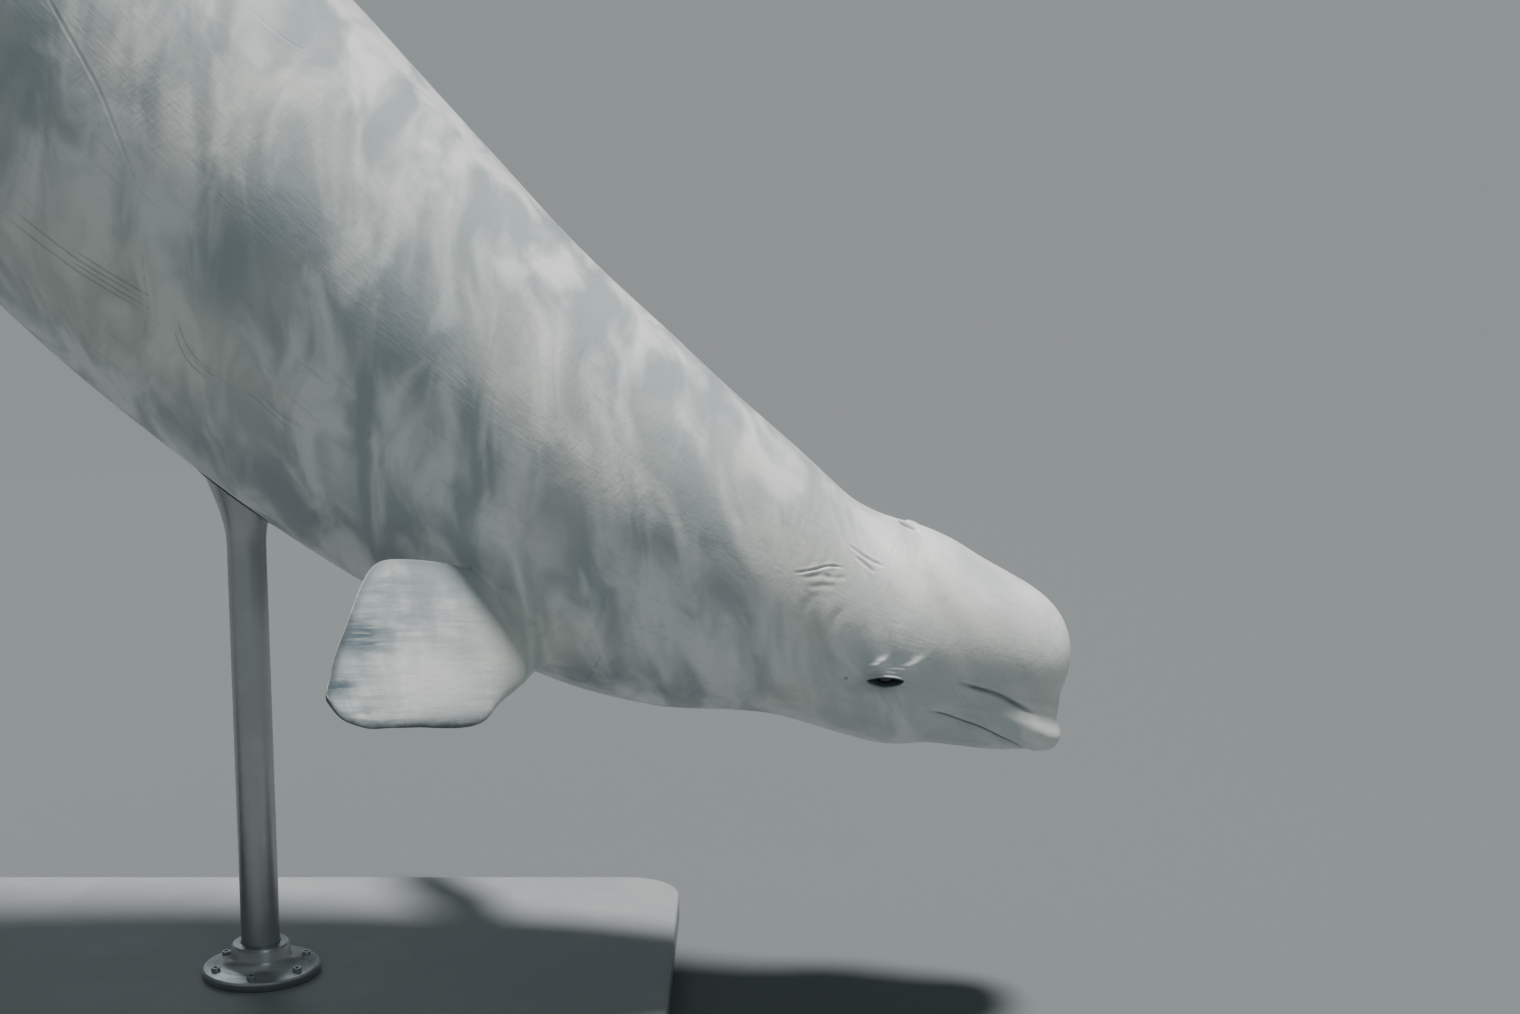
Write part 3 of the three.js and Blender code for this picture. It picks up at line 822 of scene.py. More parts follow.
@dataclass
class SkinSheet:
    """The skin as it is put together: points of the straight body, faces and what they bear."""

    points: list[np.ndarray] = field(default_factory=list)
    grain: list[np.ndarray] = field(default_factory=list)
    rim: list[np.ndarray] = field(default_factory=list)
    fin: list[np.ndarray] = field(default_factory=list)
    body: list[np.ndarray] = field(default_factory=list)
    faces: list[tuple[int, ...]] = field(default_factory=list)
    uvs: list[tuple[tuple[float, float], ...]] = field(default_factory=list)
    count: int = 0

    def add(
        self,
        points: np.ndarray,
        grain: np.ndarray,
        rim: np.ndarray | float,
        fin: np.ndarray | float,
        body: float,
    ) -> np.ndarray:
        """Add points of the skin.

        Args:
            points: their places on the straight body.
            grain: where they are in the skin's own grain.
            rim: how near each is to a fin's edge, from 0 to 1.
            fin: how far out on a fin each is, from 0 to 1.
            body: 1 on the body, 0 on a fin.

        Returns:
            Their numbers, in the shape they came in.
        """
        shape = points.shape[:-1]
        flat = points.reshape(-1, 3)
        self.points.append(flat)
        self.grain.append(np.broadcast_to(grain, points.shape).reshape(-1, 3))
        self.rim.append(np.broadcast_to(rim, shape).reshape(-1))
        self.fin.append(np.broadcast_to(fin, shape).reshape(-1))
        self.body.append(np.full(len(flat), body))
        ids = np.arange(self.count, self.count + len(flat)).reshape(shape)
        self.count += len(flat)
        return ids

    def join(
        self,
        ids: np.ndarray,
        rows: np.ndarray,
        low: float,
        high: float,
        hole: np.ndarray | None = None,
    ) -> None:
        """Put faces between rings of points.

        Args:
            ids: the points' numbers, one row a ring.
            rows: each ring's place across the texture.
            low: the texture's edge where the rings start.
            high: its edge where they end.
            hole: which cells are left open.
        """
        around = ids.shape[1]
        across = low + (high - low) * np.arange(around + 1) / around
        for r in range(len(ids) - 1):
            for c in range(around):
                if hole is not None and hole[r, c]:
                    continue
                n = (c + 1) % around
                self.faces.append((ids[r, c], ids[r, n], ids[r + 1, n], ids[r + 1, c]))
                u0, u1, v0, v1 = rows[r], rows[r + 1], across[c], across[c + 1]
                self.uvs.append(((u0, v0), (u0, v1), (u1, v1), (u1, v0)))

    def close(
        self, ring: np.ndarray, tip: int, at: float, end: float, low: float, high: float
    ) -> None:
        """Draw a ring to a point with triangles.

        Args:
            ring: the numbers of the ring's points.
            tip: the point's number.
            at: the ring's place across the texture.
            end: the point's place across it.
            low: the texture's edge where the ring starts.
            high: its edge where it ends.
        """
        around = len(ring)
        across = low + (high - low) * np.arange(around + 1) / around
        for c in range(around):
            self.faces.append((ring[c], ring[(c + 1) % around], tip))
            middle = (across[c] + across[c + 1]) / 2
            self.uvs.append(((at, across[c]), (at, across[c + 1]), (end, middle)))

    def mesh(self, name: str) -> bpy.types.Mesh:
        """Make a mesh of it, still straight.

        Args:
            name: the mesh's name.

        Returns:
            The mesh.
        """
        mesh = bpy.data.meshes.new(name)
        mesh.from_pydata(np.concatenate(self.points).tolist(), [], self.faces)
        layer = mesh.uv_layers.new(name="OFBake")
        flat = np.array([uv for face in self.uvs for uv in face], np.float32)
        layer.data.foreach_set("uv", flat.ravel())
        for key in ("grain", "rim", "fin", "body"):
            bear(mesh, key, np.concatenate(getattr(self, key)))
        return mesh


@dataclass
class WhaleSkin:
    """The whole skin: head, trunk, tail stock and flukes in one tube, with the flippers in it."""

    body: WhaleForm
    flipper: FlipperForm
    flukes: FlukeForm
    head: HeadDetail
    lines: list[SkinLine]
    around: int = 192
    fan: int = 62
    fan_at: float = 200.0
    tail_rings: int = 84
    fillet: tuple[float, float] = (50.0, 0.085)
    tight_fillet: tuple[float, float] = (13.0, 0.03)
    blend_rings: int = 9
    fin_rings: int = 48
    lead_rings: int = 6
    # The radius that lays the way round the body out flat.
    layout_radius: float = 262.0
    # Up the texture: where the tube's strip ends, where the flippers' start, and their height.
    tube_strip: float = 0.7
    fin_strips: tuple[float, float] = (0.72, 0.87)
    fin_strip: float = 0.12

    def stations(self) -> np.ndarray:
        """Space the trunk's rings from the fan back to the flukes.

        Returns:
            Their places along the body.
        """
        marks, s = [self.fan_at], self.fan_at
        while s < self.flukes.start - 6:
            s += float(4.8 + 10.4 * smooth(s, 345, 620))
            marks.append(s)
        return np.array(marks)

    def build(self) -> bpy.types.Object:
        """Make the skin's object, bent to the pose, with its painted shade and marks.

        Returns:
            The object.
        """
        sheet = SkinSheet()
        angle = 2 * np.pi * np.arange(self.around) / self.around - np.pi / 2
        turn = np.pi / 2 * np.arange(1, self.fan + 1) / self.fan
        front = self.body.surface(self.fan_at, turn[:, None], angle[None, :])
        marks = self.stations()[1:]
        marks[-1] = self.flukes.start
        trunk = self.body.surface(marks[:, None], np.pi / 2, angle[None, :])
        rings = np.concatenate([front, trunk])
        tail = self.flukes.rings(self.body, self.tail_rings, rings[-1])
        tip = self.body.surface(self.fan_at, 0.0, 0.0)
        tip_id = int(sheet.add(tip[None, :], tip[None, :], 0.0, 0.0, 1.0)[0])
        ids = sheet.add(rings, rings, 0.0, 0.0, 1.0)
        out = smooth(np.abs(tail[..., 1]), 60, 260)
        tail_ids = sheet.add(tail, tail, self.fluke_rim(tail), out, 0.0)
        every = np.concatenate([ids, tail_ids])
        flank = np.concatenate([rings, tail])[:, self.around // 4]
        long = np.r_[0.0, np.cumsum(np.linalg.norm(np.diff(flank, axis=0), axis=1))]
        evenly = np.arange(len(long)) / (len(long) - 1)
        rows = 0.02 + 0.96 * (0.5 * long / long[-1] + 0.5 * evenly)
        hole = self.hole(rings)
        whole = np.zeros((len(every) - 1, self.around), bool)
        whole[: hole.shape[0]] = hole
        mirrored = whole[:, ::-1]
        sheet.join(every, rows, 0.0, self.tube_strip, whole | mirrored)
        sheet.close(ids[0][::-1], tip_id, rows[0], 0.0, 0.0, self.tube_strip)
        self.seam(sheet, tail_ids[-1])
        self.fin(sheet, rings, ids, hole)
        return self.finish(sheet)

    def fluke_rim(self, tail: np.ndarray) -> np.ndarray:
        """Say how near the flukes' points are to their edges.

        Args:
            tail: the points.

        Returns:
            1 on an edge, and less away from it.
        """
        out = np.abs(tail[..., 1])
        behind = self.flukes.rear_curve(out)[..., 0] - tail[..., 0]
        front = np.interp(out, self.flukes.front_points[:, 1], self.flukes.front_points[:, 0])
        ahead = np.where(out > 110, tail[..., 0] - front, 99.0)
        return np.maximum(np.exp(-behind / 26), 0.8 * np.exp(-np.maximum(ahead, 0) / 12))

    def seam(self, sheet: SkinSheet, last: np.ndarray) -> None:
        """Close the flukes' trailing edge between the upper and the lower skin.

        Args:
            sheet: the skin so far.
            last: the numbers of the flukes' last ring.
        """
        half = self.around // 2
        for i in range(half):
            a, b = last[i], last[i + 1]
            c, d = last[(half - i - 1) % self.around], last[(half - i) % self.around]
            if len({a, b, c, d}) < 3:
                continue
            face = tuple(dict.fromkeys((a, b, c, d)))
            sheet.faces.append(face)
            u0, u1 = 0.985, 0.99
            v0 = self.tube_strip * i / self.around
            v1 = v0 + 0.002
            corners = ((u0, v0), (u0, v1), (u1, v1), (u1, v0))
            sheet.uvs.append(corners[: len(face)])

    def root(self) -> np.ndarray:
        """Find where the right flipper leaves the straight body."""
        angle = -math.radians(self.flipper.below)
        return self.body.surface(self.flipper.s, np.pi / 2, angle)

    def fin_points(self, share: np.ndarray, around: np.ndarray) -> np.ndarray:
        """Find the right flipper's points on the straight body's own ways.

        Args:
            share: how far down the outline's rows each is.
            around: its angle round the section.

        Returns:
            The points of the straight body.
        """
        root = self.body.place(*self.root())
        world = self.flipper.points(share, around, root)
        flat = self.body.straighten(world.reshape(-1, 3), self.flipper.s)
        return flat.reshape(world.shape)

    def unroll(self, points: np.ndarray) -> np.ndarray:
        """Lay points of the body's right side out flat: s, and the way round it."""
        angle = np.arctan2(points[..., 2], -points[..., 1])
        return np.stack([points[..., 0], angle * self.layout_radius], -1)

    def roll(self, flat: np.ndarray) -> np.ndarray:
        """Put places of the flat layout back on the body."""
        angle = flat[..., 1] / self.layout_radius
        return self.body.surface(flat[..., 0], np.pi / 2, angle)

    def crossing(self, around: np.ndarray) -> np.ndarray:
        """Find the share of the flipper's outline at which each line of it leaves the body.

        Args:
            around: the lines' angles round the section.

        Returns:
            The shares.
        """
        inner, outer = np.zeros(len(around)), np.full(len(around), 0.6)
        for _ in range(22):
            middle = (inner + outer) / 2
            p = self.fin_points(middle, around)
            within = self.body.outside(p[:, 0], p[:, 1], p[:, 2]) < 0
            inner, outer = np.where(within, middle, inner), np.where(within, outer, middle)
        return inner

    def hole(self, rings: np.ndarray) -> np.ndarray:
        """Choose the body's cells that the right flipper takes the place of.

        Args:
            rings: the body's points.

        Returns:
            True for the cells that are left open.
        """
        around = np.linspace(0, 2 * np.pi, 60, endpoint=False)
        foot = self.unroll(self.fin_points(self.crossing(around), around))
        low, high = foot.min(0) - 62.0, foot.max(0) + 62.0
        flat = self.unroll(rings)
        inside = np.all((flat > low) & (flat < high), axis=-1) & (rings[..., 1] < 0)
        corner = inside[:-1] & inside[1:]
        return corner & np.roll(corner, -1, axis=1)

    def walk(self, hole: np.ndarray) -> np.ndarray:
        """Go once round the edge of the right hole.

        Args:
            hole: its cells.

        Returns:
            The ring and the place in it of each point on the way.
        """
        r = np.flatnonzero(hole.any(axis=1))
        c = np.flatnonzero(hole.any(axis=0))
        r0, r1, c0, c1 = r[0], r[-1] + 1, c[0], c[-1] + 1
        way = [(r0, k) for k in range(c0, c1)] + [(k, c1) for k in range(r0, r1)]
        way += [(r1, k) for k in range(c1, c0, -1)] + [(k, c0) for k in range(r1, r0, -1)]
        return np.array(way)

    def facing(self, rings: np.ndarray, walk: np.ndarray) -> tuple[np.ndarray, np.ndarray]:
        """Pair the hole's edge with the foot of the right flipper.

        Args:
            rings: the body's points.
            walk: the walk round the hole.

        Returns:
            The walk in the foot's own sense, and the angle round the section that each faces.
        """
        dense = np.linspace(0, 2 * np.pi, 721)[:-1]
        foot = self.unroll(self.fin_points(self.crossing(dense), dense))
        centre = (foot.min(0) + foot.max(0)) / 2
        way = np.unwrap(np.arctan2(*(foot - centre).T))
        sign = np.sign(way[-1] - way[0])
        for at in (walk, walk[::-1]):
            edge = self.unroll(rings[at[:, 0], at[:, 1]])
            wanted = np.unwrap(np.arctan2(*(edge - centre).T))
            if np.sign(wanted[-1] - wanted[0]) == sign:
                break
        way3 = sign * np.concatenate([way - sign * 2 * np.pi, way, way + sign * 2 * np.pi])
        dense3 = np.concatenate([dense - 2 * np.pi, dense, dense + 2 * np.pi])
        return at, np.interp(sign * wanted, way3, dense3)

    def grow(self, edge: np.ndarray, polar: np.ndarray) -> tuple[np.ndarray, ...]:
        """Find the rings of points from the hole's edge out to the right flipper's tip.

        Args:
            edge: the hole's edge, laid out flat.
            polar: the angle round the section that each of its points faces.

        Returns:
            The points, how near each is to the edge, and how far out on the flipper it is.
        """
        count = len(edge)
        even = 2 * np.pi * np.arange(count) / count
        even = even + np.mean(polar - even)
        first = 0.55 * polar + 0.45 * even
        start = self.crossing(first % (2 * np.pi))
        corner = self.fin_points(start, first)
        foot = self.unroll(corner)
        gap = edge - foot
        far = np.linalg.norm(gap, axis=1, keepdims=True)
        wide, tight = np.array(self.fillet), np.array(self.tight_fillet)
        to_front = smooth(np.cos(first), -0.9, 0.6)[:, None]
        room = tight + (wide - tight) * to_front
        near_flat = foot + gap * np.minimum(room[:, :1] / far, 0.8)
        near = self.roll(near_flat)
        onto = start + room[:, 1]
        second = self.fin_points(onto, first)
        made = []
        for k in range(1, self.lead_rings + 1):
            made.append(self.roll(edge + (near_flat - edge) * (k / (self.lead_rings + 1))))
        for k in range(self.blend_rings + 1):
            t = k / self.blend_rings
            made.append((1 - t) ** 2 * near + 2 * t * (1 - t) * corner + t * t * second)
        rims = [np.zeros(count)] * len(made)
        outs = [np.zeros(count)] * len(made)
        for k in range(1, self.fin_rings + 1):
            t = 1 - (1 - k / self.fin_rings) ** 1.25
            around = first + (even - first) * float(smooth(t, 0.0, 0.45))
            made.append(self.fin_points(onto + (1 - onto) * t, around))
            rims.append(self.fin_rim(onto + (1 - onto) * t, around))
            outs.append(smooth(np.full(count, t), 0.0, 0.4))
        return np.array(made), np.array(rims), np.array(outs)

    def fin(self, sheet: SkinSheet, rings: np.ndarray, ids: np.ndarray, hole: np.ndarray) -> None:
        """Grow both flippers out of their holes.

        Args:
            sheet: the skin so far.
            rings: the body's points.
            ids: their numbers.
            hole: the right hole's cells.
        """
        at, polar = self.facing(rings, self.walk(hole))
        made, rims, outs = self.grow(self.unroll(rings[at[:, 0], at[:, 1]]), polar)
        end = made[-1].mean(0) + (made[-1].mean(0) - made[-2].mean(0)) * 0.3
        for side, low in zip(Side, self.fin_strips):
            flip = np.array([1.0, -side.value, 1.0])
            here = at if side is Side.RIGHT else np.stack([at[:, 0], -at[:, 1]], -1)
            base = ids[here[:, 0], here[:, 1] % self.around]
            new = sheet.add(made * flip, self.fin_grain(made) * flip, rims, outs, 0.0)
            last = sheet.add(end[None, :] * flip, end[None, :] * flip, 1.0, 1.0, 0.0)[0]
            every = np.concatenate([base[None, :], new])
            rows = 0.02 + 0.9 * np.arange(len(every)) / len(every)
            high = low + self.fin_strip
            sheet.join(every, rows, low, high)
            sheet.close(every[-1], int(last), rows[-1], 0.96, low, high)

    def fin_rim(self, share: np.ndarray, around: np.ndarray) -> np.ndarray:
        """Say how near the flipper's points are to its edge.

        Args:
            share: how far down the outline's rows each is.
            around: its angle round the section.

        Returns:
            How near each is, from 0 to 1.
        """
        last = len(self.flipper.outline) - 1
        rows = self.flipper.curve(share * last)
        span, leading, trailing = rows[..., 0], rows[..., 1], rows[..., 2]
        v = (leading + trailing) / 2 + np.cos(around) * (leading - trailing) / 2
        edge = self.flipper.curve(np.linspace(0, last, 200))
        shore = np.concatenate([edge[:, [0, 1]], edge[:, [0, 2]]])
        away = np.hypot(span[..., None] - shore[:, 0], v[..., None] - shore[:, 1]).min(-1)
        # Strongest toward the leading edge, which faces down in the pose: the rim's darkening there is
        # painted shade over its own darker edge.
        front = 0.5 + 0.45 * smooth(v, -70, 20)
        return np.exp(-((away / 12) ** 2)) * smooth(span, 90, 170) * front

    def fin_grain(self, points: np.ndarray) -> np.ndarray:
        """Turn the skin's grain to run out along the flipper.

        Args:
            points: the flipper's points, on the straight body.

        Returns:
            Their places in the grain.
        """
        root = self.root()
        world = self.body.place(points[..., 0], points[..., 1], points[..., 2])
        rel = world - self.body.place(*root)
        ways = (self.flipper.out, self.flipper.across, self.flipper.up)
        return np.stack([rel @ way for way in ways], -1) + np.array(FIN_GRAIN)

    def finish(self, sheet: SkinSheet) -> bpy.types.Object:
        """Refine the skin near its details, press them in, and bend it to the pose.

        Args:
            sheet: the whole skin, still straight.

        Returns:
            The skin's object.
        """
        mesh = sheet.mesh("skin")
        grid = bmesh.new()
        grid.from_mesh(mesh)
        bmesh.ops.recalc_face_normals(grid, faces=grid.faces)
        paths = self.paths()
        for level in range(3):
            self.refine(grid, level, paths)
        fat = [f for f in grid.faces if len(f.verts) > 4]
        bmesh.ops.triangulate(grid, faces=fat)
        grid.to_mesh(mesh)
        grid.free()
        count = len(mesh.vertices)
        p = np.empty(count * 3, np.float32)
        mesh.vertices.foreach_get("co", p)
        p = p.reshape(-1, 3).astype(float)
        body = np.empty(count, np.float32)
        mesh.attributes["body"].data.foreach_get("value", body)
        rim = np.empty(count, np.float32)
        mesh.attributes["rim"].data.foreach_get("value", rim)
        on_body = body > 0.999
        p[on_body], normals = self.snap(p[on_body])
        rise, tone = self.details(p[on_body], paths)
        p[on_body] += normals * rise[:, None]
        # The fins darken toward their edges: partly their own darker rims, partly painted shade on the
        # flippers' rounded edges.
        all_painted_shade_and_marks = 0.85 * rim
        all_painted_shade_and_marks[on_body] = tone
        bent = self.body.place(p[:, 0], p[:, 1], p[:, 2]) * MM
        mesh.vertices.foreach_set("co", bent.astype(np.float32).ravel())
        bear(mesh, "tone", all_painted_shade_and_marks)
        bear(mesh, "straight", p * MM)
        mesh.polygons.foreach_set("use_smooth", [True] * len(mesh.polygons))
        mesh.update()
        return linked("whale_skin", mesh)

    def paths(self) -> list[Path]:
        """Lay every line on both its sides of the body.

        Returns:
            Each line with its points on a side.
        """
        made = []
        for line in self.lines:
            rows = np.array(line.rows, float)
            even = SmoothTable([[i, *row] for i, row in enumerate(rows)])
            flat = even(np.linspace(0, len(rows) - 1, 5 * len(rows)))
            inner, outer = np.zeros(len(flat)), np.full(len(flat), REACH)
            for _ in range(20):
                y = (inner + outer) / 2
                within = self.body.outside(flat[:, 0], y, flat[:, 1]) < 0
                inner, outer = np.where(within, y, inner), np.where(within, outer, y)
            for side in line.sides:
                at = np.stack([flat[:, 0], side.value * inner, flat[:, 1]], -1)
                made.append((line, at))
        return made

    def refine(self, grid: bmesh.types.BMesh, level: int, paths: list[Path]) -> None:
        """Split the faces near the details once.

        Args:
            grid: the skin, still straight.
            level: how fine it is already.
            paths: the lines on it.
        """
        grid.verts.ensure_lookup_table()
        p = np.array([v.co for v in grid.verts])
        near = np.zeros(len(p), bool)
        ahead = p[:, 0] < self.head.fine_end
        near[ahead] = self.head.near(self.body, p[ahead], level)
        for line, at in paths:
            thin, broad = (24.0, 13.0, 7.0), (30.0, 18.0, 0.0)
            margin = (thin if line.half_width < 3 else broad)[level]
            close = np.all((p > at.min(0) - margin) & (p < at.max(0) + margin), axis=1)
            numbers = np.flatnonzero(close)
            if len(numbers) and margin:
                d, _ = line_distance(p[numbers], at)
                near[numbers[d < margin]] = True
        grid.edges.ensure_lookup_table()
        chosen = {e for f in grid.faces if any(near[v.index] for v in f.verts) for e in f.edges}
        bmesh.ops.subdivide_edges(grid, edges=list(chosen), cuts=1, use_grid_fill=True)
        grid.verts.index_update()

    def snap(self, p: np.ndarray) -> tuple[np.ndarray, np.ndarray]:
        """Draw points onto the body's smooth surface.

        Args:
            p: points near it.

        Returns:
            The points on it, and the ways out of it there.
        """
        for _ in range(3):
            f = self.body.outside(*p.T)
            slope = self.slope(p)
            size = np.linalg.norm(slope, axis=1, keepdims=True)
            step = np.clip(f[:, None] / np.maximum(size, 0.3), -3.0, 3.0)
            p = p - step * slope / np.maximum(size, 1e-6)
        slope = self.slope(p)
        return p, slope / np.maximum(np.linalg.norm(slope, axis=1, keepdims=True), 1e-6)

    def slope(self, p: np.ndarray) -> np.ndarray:
        """Find how the distance outside the body grows at points.

        Args:
            p: points of the straight body.

        Returns:
            Its growth along s, y and w.
        """
        ways = []
        for k in range(3):
            step = np.zeros(3)
            step[k] = 0.6
            after, before = self.body.outside(*(p + step).T), self.body.outside(*(p - step).T)
            ways.append((after - before) / 1.2)
        return np.stack(ways, -1)

    def details(self, p: np.ndarray, paths: list[Path]) -> tuple[np.ndarray, np.ndarray]:
        """Add up everything that presses into the body or darkens it.

        Args:
            p: points of the straight body.
            paths: the lines on it.

        Returns:
            How far each point rises, and how much darker it is.
        """
        rise = np.zeros(len(p))
        tone = np.zeros(len(p))
        ahead = np.flatnonzero(p[:, 0] < self.head.end)
        front = p[ahead]
        parts = [self.head.lips(front), self.head.ears(self.body, front), self.head.blow(front)]
        parts += [self.head.lids(self.body, front, side) for side in Side]
        for more_rise, more_painted_shade_and_marks in parts:
            rise[ahead] += more_rise
            tone[ahead] += more_painted_shade_and_marks
        for line, at in paths:
            reach = 5 * line.half_width
            close = np.all((p > at.min(0) - reach) & (p < at.max(0) + reach), axis=1)
            numbers = np.flatnonzero(close)
            if not len(numbers):
                continue
            d, share = line_distance(p[numbers], at)
            fade = smooth(share, 0, 0.2) * (1 - smooth(share, 0.75, 1))
            core = bump(d, 0, line.half_width)
            lip = bump(d, 2.3 * line.half_width, 1.3 * line.half_width)
            rise[numbers] += line.depth * (0.35 * lip - core) * fade
            # Each line darkens along its core and pales along its lips: on the folds this is painted
            # shade and painted highlights, on the scratches their own marks.
            tone[numbers] += line.tone * (core - 0.3 * lip) * fade
        rise += self.softness(p)
        return rise, tone

    def softness(self, p: np.ndarray) -> np.ndarray:
        """Give the blubber its slight unevenness.

        Args:
            p: points of the straight body.

        Returns:
            How far each point rises.
        """
        s, y, w = p.T
        around = np.arctan2(w, y)
        back = smooth(s, 420, 900) * (1 - smooth(s, 3100, 3580))
        waves = np.sin(s / 97 + 2.1 * np.sin(2 * around + 0.6)) * np.sin(3 * around + s / 410)
        waves += 0.6 * np.sin(s / 61 + 1.7 + 1.4 * np.sin(3 * around)) * np.cos(around * 4 + 1)
        belly = bump(around, -1.1, 0.45) + bump(around, -2.04, 0.45)
        rolls = np.sin(s / 26 + 0.8 * np.sin(s / 143)) * belly * bump(s, 640, 120)
        crumple = bump(s, 447, 34) * bump(w, 100, 34)
        ripples = np.sin(s / 3.3 + 1.6 * np.sin(w / 13) + 0.8 * np.sin(s / 17)) * crumple
        return 1.3 * waves * back + 0.9 * rolls + 0.4 * ripples


class Shader:
    """A material under construction, with short ways to add and join its nodes."""

    def __init__(self, name: str) -> None:
        """Start a material with a plain surface.

        Args:
            name: the material's name.
        """
        self.material = bpy.data.materials.new(name)
        self.material.use_nodes = True
        self.tree = self.material.node_tree
        self.surface = self.tree.nodes["Principled BSDF"]

    def add(
        self, kind: str, inputs: dict[str | int, Feed] | None = None, **settings: str
    ) -> bpy.types.Node:
        """Add a node.

        Args:
            kind: its type, without the ShaderNode in front.
            inputs: numbers or other nodes' outputs for its sockets.
            **settings: its own properties.

        Returns:
            The node.
        """
        node = self.tree.nodes.new("ShaderNode" + kind)
        for key, value in settings.items():
            setattr(node, key, value)
        for key, value in (inputs or {}).items():
            self.put(node.inputs[key], value)
        return node

    def put(self, socket: Socket, value: Feed) -> None:
        """Set a socket to a number or join it to another.

        Args:
            socket: the socket.
            value: a number, a colour, or another node's output.
        """
        if isinstance(value, Socket):
            self.tree.links.new(value, socket)
        elif isinstance(value, tuple) and len(value) == 3 and socket.type == "RGBA":
            socket.default_value = (*value, 1.0)
        else:
            socket.default_value = value

    def place(self, name: str) -> Socket:
        """Read a mesh's vector attribute."""
        return self.add("Attribute", attribute_name=name).outputs["Vector"]

    def value(self, name: str) -> Socket:
        """Read a mesh's number attribute."""
        return self.add("Attribute", attribute_name=name).outputs["Fac"]

    def noise(
        self, at: Socket, scale: float, detail: float = 3.0, rough: float = 0.5, bent: float = 0.0
    ) -> Socket:
        """Make soft noise at places.

        Args:
            at: the places.
            scale: how fine the noise is.
            detail: how many finer layers it has.
            rough: how strong those are.
            bent: how far it is swirled.

        Returns:
            The noise, from 0 to 1.
        """
        inputs = {"Vector": at, "Scale": scale, "Detail": detail, "Roughness": rough}
        return self.add("TexNoise", {**inputs, "Distortion": bent}).outputs["Fac"]

    def stretched(self, at: Socket, x: float, y: float, z: float) -> Socket:
        """Scale places along their own ways."""
        inputs = {0: at, 1: (x, y, z)}
        return self.add("VectorMath", inputs, operation="MULTIPLY").outputs[0]

    def rotated(self, at: Socket, degrees: float) -> Socket:
        """Turn places about y.

        Args:
            at: the places.
            degrees: how far they turn.

        Returns:
            The turned places.
        """
        angle = math.radians(degrees)
        node = self.add("VectorRotate", {"Vector": at, "Angle": angle}, rotation_type="Y_AXIS")
        return node.outputs[0]

    def span(
        self, fac: Feed, low: float, high: float, to_low: float = 0.0, to_high: float = 1.0
    ) -> Socket:
        """Carry a number from one range to another, held to its ends.

        Args:
            fac: the number.
            low: the first range's start.
            high: its end.
            to_low: what its start becomes.
            to_high: what its end becomes.

        Returns:
            The number in the new range.
        """
        inputs = {"Value": fac, "From Min": low, "From Max": high, "To Min": to_low}
        node = self.add("MapRange", {**inputs, "To Max": to_high}, interpolation_type="SMOOTHSTEP")
        return node.outputs["Result"]

    def maths(self, operation: str, a: Feed, b: Feed) -> Socket:
        """Reckon with two numbers."""
        return self.add("Math", {0: a, 1: b}, operation=operation).outputs[0]

    def blend(self, fac: Feed, a: Feed, b: Feed) -> Socket:
        """Mix two colours.

        Args:
            fac: the second colour's share.
            a: the first colour.
            b: the second.

        Returns:
            The mixture.
        """
        node = self.add("Mix", data_type="RGBA")
        for key, value in (("Factor_Float", fac), ("A_Color", a), ("B_Color", b)):
            socket = next(s for s in node.inputs if s.identifier == key)
            self.put(socket, value)
        return next(s for s in node.outputs if s.identifier == "Result_Color")

    def bumped(
        self, height: Feed, strength: float, distance: float, under: Socket | None = None
    ) -> Socket:
        """Raise the surface's shading by a height.

        Args:
            height: the height, from 0 to 1.
            strength: how much of it shows.
            distance: how high 1 is, in metres.
            under: the shading that it is laid over.

        Returns:
            The raised shading's normal.
        """
        inputs = {"Height": height, "Strength": strength, "Distance": distance}
        node = self.add("Bump", inputs)
        if under is not None:
            self.put(node.inputs["Normal"], under)
        return node.outputs["Normal"]

    def finish(
        self, colour: Feed, rough: Feed, normal: Socket | None = None
    ) -> bpy.types.Material:
        """Join the surface's colour, roughness and normal.

        Args:
            colour: the colour.
            rough: the roughness.
            normal: the normal, if it is raised.

        Returns:
            The material.
        """
        self.put(self.surface.inputs["Base Color"], colour)
        self.put(self.surface.inputs["Roughness"], rough)
        if normal is not None:
            self.put(self.surface.inputs["Normal"], normal)
        return self.material


